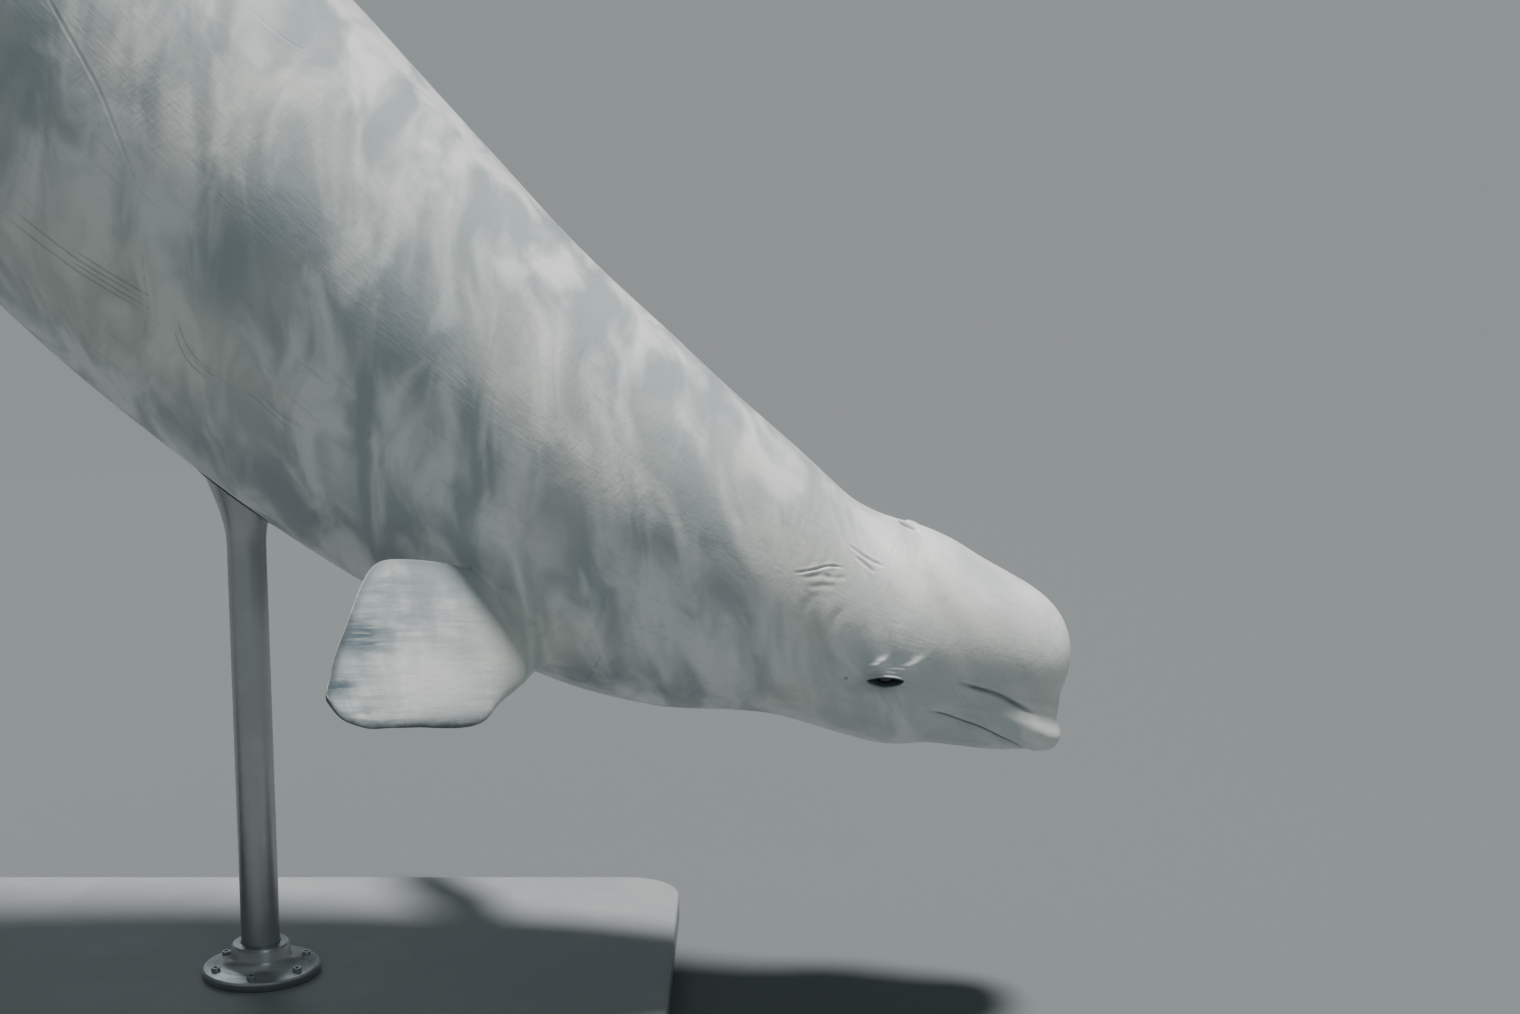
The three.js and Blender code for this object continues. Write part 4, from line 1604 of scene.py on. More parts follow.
@dataclass(frozen=True)
class SkinFinish:
    """The whale's wet, pale skin."""

    pale: Colour = (0.82, 0.84, 0.82)
    cool: Colour = (0.33, 0.38, 0.40)
    warm: Colour = (0.82, 0.80, 0.72)
    grey: Colour = (0.34, 0.38, 0.40)
    # The pale of the scuffs and the worn place, also of the painted highlights along the folds and the
    # upper lip, and of the scratches' own pale lips.
    scuff: Colour = (0.88, 0.89, 0.86)
    # The dark of the painted shade in folds, creases, slits, pinholes and on the fins' rims, and of the
    # scratches' own dark marks.
    dark: Colour = (0.08, 0.10, 0.11)
    slate: Colour = (0.10, 0.135, 0.165)
    # How the painted dapples of light in the mottling are turned and stretched, so that they stand
    # upright in the pose.
    painted_dapple_turn: float = -40.0
    painted_dapple_scale: Triple = (15.0, 7.0, 5.5)
    broad_scale: Triple = (2.2, 3.4, 3.4)
    tint_scale: Triple = (3.0, 4.0, 4.0)
    # Scales in the grain: long along the body or the flipper, but for the furrows, across it.
    streak_scale: Triple = (0.007, 0.09, 0.09)
    patch_scale: Triple = (0.010, 0.022, 0.022)
    fibre_scale: Triple = (0.018, 0.17, 0.17)
    scuff_scale: Triple = (0.012, 0.2, 0.2)
    wrinkle_scale: Triple = (0.03, 0.24, 0.24)
    furrow_scale: Triple = (0.17, 0.03, 0.03)
    # The flipper's soft spots: the middle of each in the grain, and how far it reaches.
    bruises: tuple = (
        ((1248.0, 10.0, 2000.0), (62.0, 30.0)),
        ((1310.0, 76.0, 2000.0), (46.0, 16.0)),
    )
    worn: tuple = ((1120.0, 78.0, 2000.0), (120.0, 56.0))

    def material(self) -> bpy.types.Material:
        """Mix its mottling with painted dapples of light, its scuffs and pores, and its painted shade
        and highlights.

        Returns:
            The material.
        """
        sh = Shader("beluga_skin")
        at, grain, fin = sh.place("straight"), sh.place("grain"), sh.value("fin")
        # Mottling over the whole animal: soft skin mottling mixed with painted dapples of light, turned
        # to stand upright in the pose as falling light draws them.
        upright = sh.stretched(sh.rotated(at, self.painted_dapple_turn), *self.painted_dapple_scale)
        painted_dapple = sh.noise(upright, 1.0, 3.0, 0.5, 0.7)
        broad = sh.noise(sh.stretched(at, *self.broad_scale), 1.0, 3.0, 0.5, 0.4)
        mottle_and_painted_dapple = sh.maths("ADD", sh.maths("MULTIPLY", broad, 0.3), sh.maths("MULTIPLY", painted_dapple, 0.7))
        mottle_and_painted_dapple_share = sh.maths("MULTIPLY", sh.span(mottle_and_painted_dapple, 0.38, 0.60, 0.0, 0.88), self.calm(sh, at))
        colour = sh.blend(mottle_and_painted_dapple_share, self.pale, self.cool)
        tint = sh.noise(sh.stretched(at, *self.tint_scale), 1.0, 2.0)
        colour = sh.blend(sh.span(tint, 0.48, 0.72, 0.0, 0.5), colour, self.warm)
        # Streaks, far stronger on the fins.
        streak = sh.noise(sh.stretched(grain, *self.streak_scale), 1.0, 4.0, 0.6)
        hem = sh.maths("POWER", sh.value("rim"), 0.1)
        deep = sh.maths("MULTIPLY", fin, sh.span(hem, 0.1, 0.8, 0.55, 1.0))
        on_fin = sh.maths("MULTIPLY", sh.span(streak, 0.42, 0.62, 0.0, 0.9), deep)
        streaked = sh.maths("MAXIMUM", sh.span(streak, 0.55, 0.74, 0.0, 0.25), on_fin)
        colour = sh.blend(streaked, colour, self.cool)
        # Patches, bruises and a worn place on the fins.
        patch = sh.noise(sh.stretched(grain, *self.patch_scale), 1.0, 4.0, 0.55, 0.4)
        fibre = sh.noise(sh.stretched(grain, *self.fibre_scale), 1.0, 4.0, 0.6)
        patched = sh.maths("MULTIPLY", sh.span(patch, 0.42, 0.66, 0.0, 0.85), fin)
        patched = sh.maths("MULTIPLY", patched, sh.span(fibre, 0.34, 0.62, 0.3, 1.0))
        colour = sh.blend(patched, colour, self.grey)
        streaky = sh.maths("MULTIPLY", fin, sh.span(fibre, 0.36, 0.58, 0.5, 1.0))
        for middle, reach in self.bruises:
            bruise = sh.maths("MULTIPLY", self.spot(sh, grain, middle, reach), streaky)
            colour = sh.blend(sh.maths("MULTIPLY", bruise, 0.95), colour, self.slate)
        worn = sh.maths("MULTIPLY", self.spot(sh, grain, *self.worn), fin)
        colour = sh.blend(sh.maths("MULTIPLY", worn, 0.75), colour, self.scuff)
        # Specks and scuffs, then the darkening and paling that the skin's points carry.
        speck = sh.noise(at, 120.0, 3.0, 0.7)
        colour = sh.blend(sh.span(speck, 0.58, 0.76, 0.0, 0.25), colour, self.cool)
        scuff = sh.noise(sh.stretched(grain, *self.scuff_scale), 1.0, 6.0, 0.7)
        colour = sh.blend(sh.span(scuff, 0.62, 0.74, 0.0, 0.35), colour, self.scuff)
        tone = sh.value("tone")
        uneven = sh.span(sh.noise(grain, 0.05, 4.0, 0.6), 0.25, 0.7, 0.85, 1.1)
        # Painted shade in folds, creases, slits, pinholes and on the fins' rims, with the scratches'
        # own dark marks and a darker patch round each eye.
        colour = sh.blend(sh.maths("MULTIPLY", sh.span(tone, 0.0, 1.0), uneven), colour, self.dark)
        # Where the values fall below 0: painted highlights along the folds and the upper lip, and the
        # scratches' own pale lips.
        colour = sh.blend(sh.span(sh.maths("MULTIPLY", tone, -1.0), 0.0, 1.0), colour, self.scuff)
        return sh.finish(colour, self.rough(sh, at), self.relief(sh, at, grain))

    def calm(self, sh: Shader, at: Socket) -> Socket:
        """Quiet the mottling and the painted dapples of light over the face."""
        parts = sh.add("SeparateXYZ", {0: at})
        return sh.span(parts.outputs["X"], 0.20, 0.62, 0.5, 1.0)

    def spot(self, sh: Shader, grain: Socket, middle: tuple, reach: tuple) -> Socket:
        """Say how near places are to the middle of a soft spot.

        Args:
            sh: the material.
            grain: the places.
            middle: the spot's middle, in the grain's own millimetres.
            reach: how far it reaches each way.

        Returns:
            1 in its middle, 0 outside it.
        """
        off = sh.add("VectorMath", {0: grain, 1: middle}, operation="SUBTRACT").outputs[0]
        off = sh.stretched(off, 1.0 / reach[0], 1.0 / reach[1], 0.0)
        away = sh.add("VectorMath", {0: off}, operation="LENGTH").outputs["Value"]
        return sh.span(away, 0.2, 1.3, 1.0, 0.0)

    def rough(self, sh: Shader, at: Socket) -> Socket:
        """Vary the skin's roughness, and set what lies under and over it."""
        self.wet(sh)
        return sh.span(sh.noise(at, 14.0, 4.0, 0.6), 0.3, 0.7, 0.34, 0.50)

    def relief(self, sh: Shader, at: Socket, grain: Socket) -> Socket:
        """Raise its pores, its fine wrinkles across the body and its soft lumps.

        Args:
            sh: the material.
            at: the straight body's places, in metres.
            grain: the places in the grain.

        Returns:
            The normal.
        """
        normal = sh.bumped(sh.noise(at, 330.0, 2.0, 0.6), 0.10, 0.001)
        fine = sh.noise(sh.stretched(grain, *self.wrinkle_scale), 1.0, 4.0, 0.6)
        normal = sh.bumped(fine, 0.18, 0.002, normal)
        across = sh.noise(sh.stretched(grain, *self.furrow_scale), 1.0, 3.0, 0.55, 0.6)
        where = sh.span(sh.noise(at, 3.2, 2.0), 0.45, 0.62)
        normal = sh.bumped(sh.maths("MULTIPLY", across, where), 0.22, 0.003, normal)
        return sh.bumped(sh.noise(at, 26.0, 3.0, 0.55), 0.16, 0.006, normal)

    def wet(self, sh: Shader) -> None:
        """Let a little light under the skin, and lay a thin wet film over it.

        Args:
            sh: the material.
        """
        inputs = sh.surface.inputs
        inputs["Subsurface Weight"].default_value = 0.12
        inputs["Subsurface Radius"].default_value = (0.012, 0.009, 0.008)
        inputs["Subsurface Scale"].default_value = 1.0
        inputs["Specular IOR Level"].default_value = 0.5
        inputs["Coat Weight"].default_value = 0.12
        inputs["Coat Roughness"].default_value = 0.22


@dataclass(frozen=True)
class EyeFinish:
    """The eyeball: pupil, iris and the dark white, under a wet cornea."""

    pupil: Colour = (0.006, 0.006, 0.008)
    iris: Colour = (0.045, 0.026, 0.016)
    ring: Colour = (0.014, 0.010, 0.009)
    white: Colour = (0.045, 0.036, 0.033)

    def material(self) -> bpy.types.Material:
        """Ring the colours round the eye's axis.

        Returns:
            The material.
        """
        sh = Shader("whale_eye")
        out = sh.value("ring")
        fibres = sh.noise(sh.place("fibre"), 1.0, 4.0, 0.6)
        iris = sh.blend(sh.span(fibres, 0.35, 0.7), self.iris, self.ring)
        colour = sh.blend(sh.span(out, 0.28, 0.32), self.pupil, iris)
        colour = sh.blend(sh.span(out, 0.68, 0.76), colour, self.ring)
        veins = sh.span(sh.noise(sh.place("fibre"), 0.6, 5.0, 0.7, 1.5), 0.45, 0.6, 0.0, 0.6)
        colour = sh.blend(sh.span(out, 0.80, 0.92), colour, sh.blend(veins, self.white, self.ring))
        sh.surface.inputs["Coat Weight"].default_value = 1.0
        sh.surface.inputs["Coat Roughness"].default_value = 0.03
        return sh.finish(colour, sh.span(fibres, 0.2, 0.8, 0.18, 0.3))


@dataclass(frozen=True)
class MetalFinish:
    """A metal of the stand: painted or brushed."""

    name: str
    colour: Colour
    worn: Colour
    metallic: float
    rough: tuple[float, float]
    brush: Triple

    def material(self) -> bpy.types.Material:
        """Mix its grain and its handled places.

        Returns:
            The material.
        """
        sh = Shader(self.name)
        at = sh.add("TexCoord").outputs["Object"]
        grain = sh.noise(sh.stretched(at, *self.brush), 1.0, 4.0, 0.65)
        worn = sh.span(sh.noise(at, 7.0, 5.0, 0.6), 0.45, 0.7, 0.0, 0.5)
        colour = sh.blend(worn, self.colour, self.worn)
        colour = sh.blend(sh.span(grain, 0.4, 0.8, 0.0, 0.35), colour, self.worn)
        sh.surface.inputs["Metallic"].default_value = self.metallic
        normal = sh.bumped(grain, 0.12, 0.0008)
        return sh.finish(colour, sh.span(grain, 0.3, 0.7, *self.rough), normal)


@dataclass
class WhaleEye:
    """One eyeball, with its bulging cornea."""

    form: EyeForm
    side: Side
    rings: int = 26
    around: int = 40
    bulge: float = 1.0

    def build(self, body: WhaleForm) -> bpy.types.Object:
        """Make the eyeball where the lids part.

        Args:
            body: the whale's body.

        Returns:
            The eyeball.
        """
        at, back, up, out = self.form.axes(body, self.side)
        centre = at - out * self.form.sunk
        polar = np.pi * (np.arange(self.rings + 1) / self.rings) ** 1.25
        turn = 2 * np.pi * np.arange(self.around) / self.around
        radius = self.form.radius + self.bulge * (1 - smooth(polar, 0.0, 0.9)) * np.cos(polar)
        ways = (
            np.cos(polar)[:, None, None] * out
            + np.sin(polar)[:, None, None] * np.cos(turn)[None, :, None] * back
            + np.sin(polar)[:, None, None] * np.sin(turn)[None, :, None] * up
        )
        p = centre + radius[:, None, None] * ways
        flat = p.reshape(-1, 3)
        bent = body.place(flat[:, 0], flat[:, 1], flat[:, 2]) * MM
        faces = []
        for r in range(self.rings):
            for c in range(self.around):
                n = (c + 1) % self.around
                low, high = r * self.around, (r + 1) * self.around
                faces.append((low + c, high + c, high + n, low + n))
        name = f"eyeball_{self.side.name.lower()}"
        mesh = bpy.data.meshes.new(name)
        mesh.from_pydata(bent.tolist(), [], faces)
        ring = np.broadcast_to(polar[:, None], (self.rings + 1, self.around))
        bear(mesh, "ring", ring)
        fibre = np.stack([np.cos(turn) * 9, np.sin(turn) * 9, np.zeros(self.around)], -1)
        fibre = fibre[None] + polar[:, None, None] * np.array([0.0, 0.0, 3.0])
        bear(mesh, "fibre", fibre)
        grid = bmesh.new()
        grid.from_mesh(mesh)
        bmesh.ops.remove_doubles(grid, verts=grid.verts, dist=1e-5)
        bmesh.ops.recalc_face_normals(grid, faces=grid.faces)
        grid.to_mesh(mesh)
        grid.free()
        mesh.polygons.foreach_set("use_smooth", [True] * len(mesh.polygons))
        return linked(name, mesh)


@dataclass
class Stand:
    """The display stand: a flat base, and two rods whose cups carry the belly."""

    length: float = 1900.0
    width: float = 960.0
    thick: float = 45.0
    corner: float = 110.0
    bevel: float = 6.0
    rods: tuple[tuple[str, float], ...] = (("front", 300.0), ("rear", -500.0))
    rod_radius: float = 30.0
    cup: float = 78.0
    flare: float = 190.0
    below_spine: float = 330.0
    pad: float = 4.0
    gap: float = 0.3
    bolt_circle: float = 74.0
    bolts: int = 6

    def base(self) -> bpy.types.Object:
        """Make the base plate with its rounded edges.

        Returns:
            The plate.
        """
        steps = 10
        corners = []
        x, y, r = self.length / 2, self.width / 2, self.corner * 0.86
        for sx, sy, start in ((1, 1, 0), (-1, 1, 90), (-1, -1, 180), (1, -1, 270)):
            for k in range(steps + 1):
                a = math.radians(start + 90 * k / steps)
                ahead, side = math.cos(a), math.sin(a)
                corners.append((sx * (x - r) + r * ahead, sy * (y - r) + r * side, ahead, side))
        ring = np.array(corners)
        profile = []
        for k in range(5):
            a = math.radians(90 * k / 4)
            inset = self.bevel * (1 - math.sin(a)) * 0.5
            profile.append((inset, self.bevel * 0.5 * (1 - math.cos(a))))
        profile += [(0.0, self.thick - self.bevel)]
        for k in range(1, 6):
            a = math.radians(90 * k / 5)
            rise = self.thick - self.bevel + self.bevel * math.sin(a)
            profile.append((self.bevel * (1 - math.cos(a)), rise))
        profile += [(self.bevel + 10, self.thick)]
        points, faces = [], []
        for inset, z in profile:
            for px, py, nx, ny in ring:
                points.append(((px - inset * nx) * MM, (py - inset * ny) * MM, z * MM))
        n = len(ring)
        for row in range(len(profile) - 1):
            low, high = row * n, (row + 1) * n
            for c in range(n):
                d = (c + 1) % n
                faces.append((low + c, low + d, high + d, high + c))
        faces.append(tuple(range(n))[::-1])
        faces.append(tuple((len(profile) - 1) * n + c for c in range(n)))
        return self.piece("stand_base_plate", points, faces)

    def piece(self, name: str, points: list, faces: list, sharp: float = 38.0) -> bpy.types.Object:
        """Make a smooth-shaded piece with its sharp edges kept.

        Args:
            name: the piece's name.
            points: its points, in metres.
            faces: its faces, by the points' numbers.
            sharp: the angle in degrees from which an edge stays sharp.

        Returns:
            The piece.
        """
        mesh = bpy.data.meshes.new(name)
        mesh.from_pydata(points, [], faces)
        mesh.polygons.foreach_set("use_smooth", [True] * len(mesh.polygons))
        grid = bmesh.new()
        grid.from_mesh(mesh)
        bmesh.ops.recalc_face_normals(grid, faces=grid.faces)
        for edge in grid.edges:
            edge.smooth = edge.calc_face_angle(0.0) < math.radians(sharp)
        grid.to_mesh(mesh)
        grid.free()
        return linked(name, mesh)

    def turned(
        self, name: str, profile: list, x: float, top: Heights | None = None, sides: int = 72
    ) -> bpy.types.Object:
        """Turn a profile of [radius, height] about the vertical.

        Args:
            name: the piece's name.
            profile: the profile, in millimetres, whose last row repeats the first in a ring.
            x: where its axis stands.
            top: what gives the belly's height, to which heights written as text are added.
            sides: how many sides it has.

        Returns:
            The piece.
        """
        points, faces = [], []
        for radius, height in profile:
            for k in range(sides):
                a = 2 * math.pi * k / sides
                px, py = x + radius * math.cos(a), radius * math.sin(a)
                z = height if not isinstance(height, str) else top(px, py) + float(height)
                points.append((px * MM, py * MM, z * MM))
        closed = profile[0] == profile[-1]
        for r in range(len(profile) - 1):
            for k in range(sides):
                n = (k + 1) % sides
                a, b = r * sides, (r + 1) * sides
                if closed and r == len(profile) - 2:
                    b = 0
                faces.append((a + k, a + n, b + n, b + k))
        if closed:
            points = points[: (len(profile) - 1) * sides]
        else:
            faces.append(tuple(range(sides))[::-1])
            faces.append(tuple((len(profile) - 1) * sides + k for k in range(sides)))
        return self.piece(name, points, faces)

    def under(self, body: WhaleForm, x: float, y: float) -> float:
        """Find the height of the belly over a place of the floor.

        Args:
            body: the whale's body.
            x: the place, ahead.
            y: and to the left.

        Returns:
            The height, in millimetres.
        """
        axis = body.spine[np.argmin(np.abs(body.spine[:, 0] - x)), 1]
        low, high = axis - REACH, axis
        s = float(np.interp(-x, -body.spine[:, 0], body.marks))
        for _ in range(26):
            z = (low + high) / 2
            p = body.straighten(np.array([[x, y, z]]), s)
            if body.outside(*p.T)[0] > 0:
                low = z
            else:
                high = z
        return (low + high) / 2

    def build(self, body: WhaleForm) -> dict[str, bpy.types.Object]:
        """Make the stand's pieces.

        Args:
            body: the whale's body.

        Returns:
            The pieces, by the names of the nodes they replace, and the pads by their own.
        """
        made = {"stand_base": self.base()}
        foot = self.thick + self.gap
        for name, x in self.rods:
            above = body.spine[np.argmax(body.spine[:, 0] < x), 1]
            low = above - self.below_spine - self.flare
            top = self.belly_table(body, x)
            r, cup = self.rod_radius, self.cup
            flare = []
            for k in range(13):
                t = k / 12
                flare.append((r + (cup - r) * float(smooth(t, 0.0, 1.0)), low + self.flare * t))
            profile = [(r - 1.5, foot), (r, foot + 1.5), (r, low - 40), *flare]
            rim, under = str(-self.pad - 1.5), str(-self.pad)
            profile += [(cup, rim), (cup - 1.5, under), (cup * 0.6, under), (cup * 0.2, under)]
            made[f"stand_rod_{name}"] = self.turned(f"stand_post_{name}", profile, x, top)
            low_side, high_side = str(-self.pad + 0.2), str(-0.6)
            pad = [
                (cup * 0.3, low_side), (cup + 1.0, low_side), (cup + 2.0, str(-self.pad / 2)),
                (cup + 1.0, high_side), (cup * 0.3, high_side), (cup * 0.3, low_side),
            ]
            made[f"pad_{name}"] = self.turned(f"stand_pad_{name}", pad, x, top)
            made[f"stand_foot_{name}"] = self.foot(name, x)
        return made

    def belly_table(self, body: WhaleForm, x: float) -> Heights:
        """Make a quick way to read the belly's height near a rod.

        Args:
            body: the whale's body.
            x: where the rod stands.

        Returns:
            What gives the height over a place.
        """
        size, count = self.cup + 4, 15
        last = count - 1.001
        xs = np.linspace(x - size, x + size, count)
        ys = np.linspace(-size, size, count)
        grid = np.array([[self.under(body, a, b) for b in ys] for a in xs])

        def height(px: float, py: float) -> float:
            """Read the belly's height over a place.

            Args:
                px: the place, ahead.
                py: and to the left.

            Returns:
                The height, in millimetres.
            """
            i = min(max((px - xs[0]) / (xs[1] - xs[0]), 0.0), last)
            j = min(max((py - ys[0]) / (ys[1] - ys[0]), 0.0), last)
            a, b = int(i), int(j)
            u, v = i - a, j - b
            low = grid[a, b] * (1 - v) + grid[a, b + 1] * v
            high = grid[a + 1, b] * (1 - v) + grid[a + 1, b + 1] * v
            return float(low * (1 - u) + high * u)

        return height

    def foot(self, name: str, x: float) -> bpy.types.Object:
        """Make the flange that bolts a rod down, with its six cap screws.

        Args:
            name: the rod's name.
            x: where it stands.

        Returns:
            The flange, which carries the screws.
        """
        low, inner = self.thick + self.gap, self.rod_radius + self.gap
        profile = [
            (inner, low), (91.0, low), (92.0, low + 1.5), (92.0, low + 11), (89.5, low + 14),
            (60.0, low + 18), (51.0, low + 23), (46.5, low + 32), (46.0, low + 46),
            (43.0, low + 51), (inner + 1.5, low + 52), (inner, low + 50.5), (inner, low),
        ]
        flange = self.turned(f"stand_flange_{name}", profile, x)
        screw = [
            (7.0, low + 12), (7.0, low + 20.5), (6.2, low + 21.5), (3.6, low + 21.5),
            (3.6, low + 18.0), (0.4, low + 18.0),
        ]
        for k in range(self.bolts):
            a = math.radians(30 + 360 * k / self.bolts)
            sx, sy = x + self.bolt_circle * math.cos(a), self.bolt_circle * math.sin(a)
            bolt = self.turned(f"stand_screw_{name}_{k}", screw, 0.0, sides=24)
            bolt.data.transform(Matrix.Translation((sx * MM, sy * MM, 0)))
            bolt.parent = flange
        return flange


@dataclass
class Studio:
    """The pale floor, the soft light and the camera."""

    # The focal length is in the photograph's own pixels.
    focal: float = 2275.0
    image_width: int = 1520
    film_width: float = 36.0
    elevation: float = 9.0
    distance: float = 3.5
    target: Triple = (1.092, 0.0, 0.7935)
    floor_size: float = 600.0
    floor_tint: Colour = (0.150, 0.164, 0.168)
    zenith: Colour = (0.25, 0.29, 0.30)
    dim: Colour = (0.020, 0.028, 0.030)
    heights: tuple[float, ...] = (0.0, 0.10, 0.22, 1.0)
    sun_from: Triple = (0.16, 0.02, 1.0)
    sun_power: float = 5.6
    sun_width: float = 11.0

    def camera(self) -> None:
        """Stand the camera where the photograph's was."""
        data = bpy.data.cameras.new("camera")
        data.sensor_width = self.film_width
        data.lens = self.film_width * self.focal / self.image_width
        data.clip_start, data.clip_end = 0.05, 200.0
        camera = linked("camera", data)
        tilt = math.radians(self.elevation)
        ahead = Vector((0.0, math.cos(tilt), -math.sin(tilt)))
        camera.location = Vector(self.target) - ahead * self.distance
        camera.rotation_euler = (math.radians(90 - self.elevation), 0.0, 0.0)
        bpy.context.scene.camera = camera

    def floor(self) -> None:
        """Lay the floor."""
        half = self.floor_size / 2
        mesh = bpy.data.meshes.new("floor")
        corners = [(-half, -half, 0), (half, -half, 0), (half, half, 0), (-half, half, 0)]
        mesh.from_pydata(corners, [], [(0, 1, 2, 3)])
        floor = linked("floor", mesh)
        sh = Shader("floor")
        sh.surface.inputs["Specular IOR Level"].default_value = 0.0
        floor.data.materials.append(sh.finish((*self.floor_tint, 1.0), 1.0))
        floor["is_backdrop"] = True

    def light(
        self, name: str, place: tuple, aim: tuple, size: float, watts: float, colour: Colour
    ) -> None:
        """Hang one soft light.

        Args:
            name: its name.
            place: where it hangs, in metres.
            aim: where it points.
            size: how wide it is.
            watts: its power.
            colour: its colour.
        """
        data = bpy.data.lights.new(name, "AREA")
        data.shape = "DISK"
        data.size = size
        data.energy = watts
        data.color = colour
        lamp = linked(name, data)
        lamp.location = place
        lamp.rotation_mode = "QUATERNION"
        lamp.rotation_quaternion = (Vector(aim) - Vector(place)).to_track_quat("-Z", "Y")

    def key(self) -> None:
        """Hang the main light high above, broad enough for soft shadows."""
        data = bpy.data.lights.new("key", "SUN")
        data.energy = self.sun_power
        data.angle = math.radians(self.sun_width)
        data.color = (1.0, 0.99, 0.96)
        lamp = linked("key", data)
        lamp.rotation_mode = "QUATERNION"
        lamp.rotation_quaternion = Vector(self.sun_from).to_track_quat("Z", "Y")

    def lights(self) -> None:
        """Light it from high above, with a gentle fill and a soft rim."""
        self.key()
        self.light("fill", (2.9, -4.6, 2.9), (1.0, 0.0, 0.6), 0.6, 12.0, (0.72, 0.93, 1.0))
        self.light("rim", (-1.5, 5.0, 4.0), (0.3, 0.0, 1.0), 3.0, 26.0, (0.85, 0.97, 1.0))
        self.sky()

    def sky(self) -> None:
        """Shade the sky from the horizon, as bright as the far floor, by a dim band to overhead."""
        world = bpy.data.worlds.new("studio")
        bpy.context.scene.world = world
        world.use_nodes = True
        nodes, links = world.node_tree.nodes, world.node_tree.links
        ways = nodes.new("ShaderNodeTexCoord")
        parts = nodes.new("ShaderNodeSeparateXYZ")
        ramp = nodes.new("ShaderNodeValToRGB")
        links.new(ways.outputs["Generated"], parts.inputs[0])
        links.new(parts.outputs["Z"], ramp.inputs["Fac"])
        links.new(ramp.outputs["Color"], nodes["Background"].inputs["Color"])
        # The share that each mark's colour has in the light on a level floor.
        z = np.linspace(0.0, 1.0, 4001)
        far, dim, top = (
            float(np.mean(2 * z * np.interp(z, self.heights, share)))
            for share in ((1, 1, 0, 0), (0, 0, 1, 0), (0, 0, 0, 1))
        )
        sun = self.sun_power * Vector(self.sun_from).normalized().z / math.pi
        low = [
            tint * (sun + dim * dark + top * high) / (1 - far * tint)
            for tint, dark, high in zip(self.floor_tint, self.dim, self.zenith)
        ]
        colours = (low, low, self.dim, self.zenith)
        marks = ramp.color_ramp.elements
        marks.new(self.heights[1])
        marks.new(self.heights[2])
        for mark, height, colour in zip(marks, self.heights, colours):
            mark.position, mark.color = height, (*colour, 1.0)
        nodes["Background"].inputs["Strength"].default_value = 1.0


# The last number of each fold darkens it with painted shade.
NECK_FOLDS = [
    SkinLine(((486, 67), (464, 79), (449, 88), (434, 96), (410, 101)), 1.7, 1.5, 0.22),
    SkinLine(((470, 66), (448, 77), (426, 84)), 3.6, 0.8, 0.03),
    SkinLine(((455, 56), (436, 66), (412, 72)), 3.8, 0.7, 0.03),
    SkinLine(((422, 132), (400, 127), (380, 123), (348, 120)), 2.4, 1.6, 0.10),
    SkinLine(((404, 121), (384, 115), (358, 108)), 2.4, 1.2, 0.08),
    SkinLine(((440, 77), (400, 90)), 3.0, 0.7, 0.05),
    SkinLine(((372, -60), (392, -20), (398, 24), (388, 60)), 7.0, 1.2, 0.03),
    SkinLine(((432, -70), (446, -20), (447, 30), (436, 66)), 8.0, 1.0, 0.02),
    SkinLine(((486, 110), (500, 128), (508, 150)), 3.5, 0.7, 0.04),
]
# The last number of each of these folds also darkens it with painted shade.
SHOULDER_FOLDS = [
    SkinLine(((690, -196), (668, -172), (655, -140)), 4.5, 1.8, 0.14),
    SkinLine(((712, -206), (694, -178), (684, -150)), 4.0, 1.6, 0.16),
    SkinLine(((668, -214), (640, -186), (622, -150)), 5.0, 1.3, 0.08),
]
SCRATCHES = [
    *raked(((1676, -168), (1568, -155), (1508, -142), (1430, -122)), 4, 7.5, 0.9, 0.5, Side.RIGHT),
    *raked(((1406, -115), (1358, -143), (1310, -141)), 3, 7.0, 0.7, 0.42, Side.RIGHT),
    *raked(((1286, -123), (1250, -122), (1208, -125), (1178, -118)), 2, 9.0, 0.6, 0.34, Side.RIGHT),
    SkinLine(((1860, 102), (1808, 84), (1694, 51), (1634, 26), (1568, -6), (1530, -38)), 1.8, 0.5, 0.2),
    SkinLine(((1646, 254), (1568, 260), (1526, 274)), 1.8, 0.4, -0.4, (Side.RIGHT,)),
    SkinLine(((1418, -189), (1440, -130), (1480, -90), (1502, -56)), 2.2, 0.6, 0.2, (Side.RIGHT,)),
    *raked(((2250, 60), (2360, 20), (2480, 6)), 3, 11.0, 0.5, 0.25, Side.RIGHT),
    *raked(((1900, -40), (2000, -80), (2120, -90)), 4, 9.0, 0.5, 0.28, Side.LEFT),
    *raked(((1250, 90), (1340, 60), (1450, 70)), 3, 9.0, 0.5, 0.24, Side.LEFT),
    SkinLine(((2900, 30), (2990, -10), (3080, -20)), 2.0, 0.5, 0.24),
]


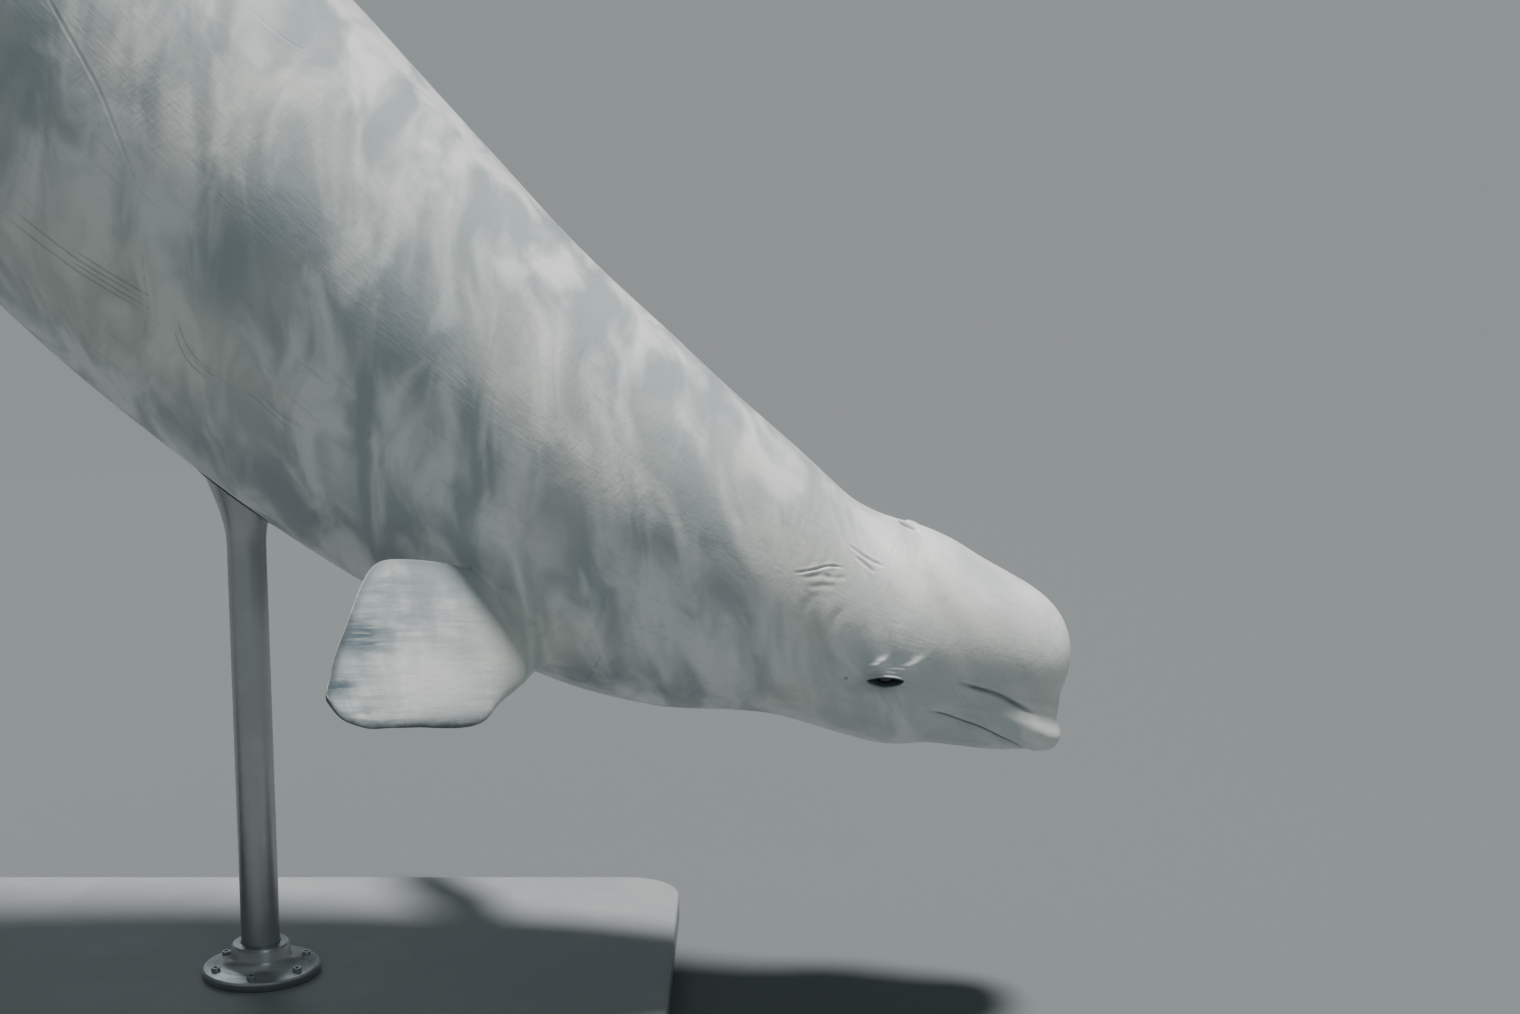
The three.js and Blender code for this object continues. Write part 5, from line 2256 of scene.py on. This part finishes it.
def dress(piece: bpy.types.Object, material: bpy.types.Material, slot: str) -> None:
    """Give a new piece its finish, and let it ride.

    Args:
        piece: the piece, whose children get the same.
        material: its finish.
        slot: not used.
    """
    piece.data.materials.clear()
    piece.data.materials.append(material)
    if piece.parent is None:
        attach(piece, "root")
    for child in piece.children:
        dress(child, material, slot)
    LOG.info("%s: %d faces", piece.name, len(piece.data.polygons))


def corners() -> list[list[float]]:
    """Read the shown object's box as plain numbers."""
    return [list(corner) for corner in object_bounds()]


def main() -> None:
    """Build the whale, its eyes, its stand and the studio."""
    logging.basicConfig(level=logging.INFO, format="%(name)s: %(message)s")
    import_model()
    studio = Studio()
    studio.camera()
    studio.lights()
    studio.floor()
    body = WhaleForm()
    head = HeadDetail()
    lines = NECK_FOLDS + SHOULDER_FOLDS + SCRATCHES
    skin = WhaleSkin(body, FlipperForm(), FlukeForm(), head, lines).build()
    dress(skin, SkinFinish().material(), "skin")
    fins = [f"{fin}_{side.name.lower()}" for fin in ("flipper", "fluke") for side in Side]
    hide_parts("head", "neck", "chest", "trunk", "tail_stock", *fins)
    eye_finish = EyeFinish().material()
    for side in Side:
        eye = WhaleEye(head.eye, side).build(body)
        dress(eye, eye_finish, "eye")
        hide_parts(f"eye_{side.name.lower()}")
    painted = MetalFinish(
        "painted_plate", (0.25, 0.265, 0.275), (0.31, 0.32, 0.33), 0.0, (0.5, 0.68),
        (260.0, 260.0, 260.0),
    ).material()
    steel = MetalFinish(
        "brushed_rod", (0.42, 0.43, 0.44), (0.55, 0.56, 0.57), 1.0, (0.28, 0.46),
        (30.0, 30.0, 900.0),
    ).material()
    rubber = MetalFinish(
        "rubber_pad", (0.035, 0.037, 0.04), (0.06, 0.06, 0.065), 0.0, (0.7, 0.85),
        (300.0, 300.0, 300.0),
    ).material()
    pieces = Stand().build(body)
    for name, piece in pieces.items():
        if name.startswith("pad"):
            dress(piece, rubber, "stand_plate")
        elif name == "stand_base":
            dress(piece, painted, "stand_plate")
            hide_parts(name)
        else:
            dress(piece, steel, "stand_steel")
            cup = [name.replace("rod", "cup")] if "rod" in name else []
            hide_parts(name, *cup)


if __name__ == "__main__":
    main()
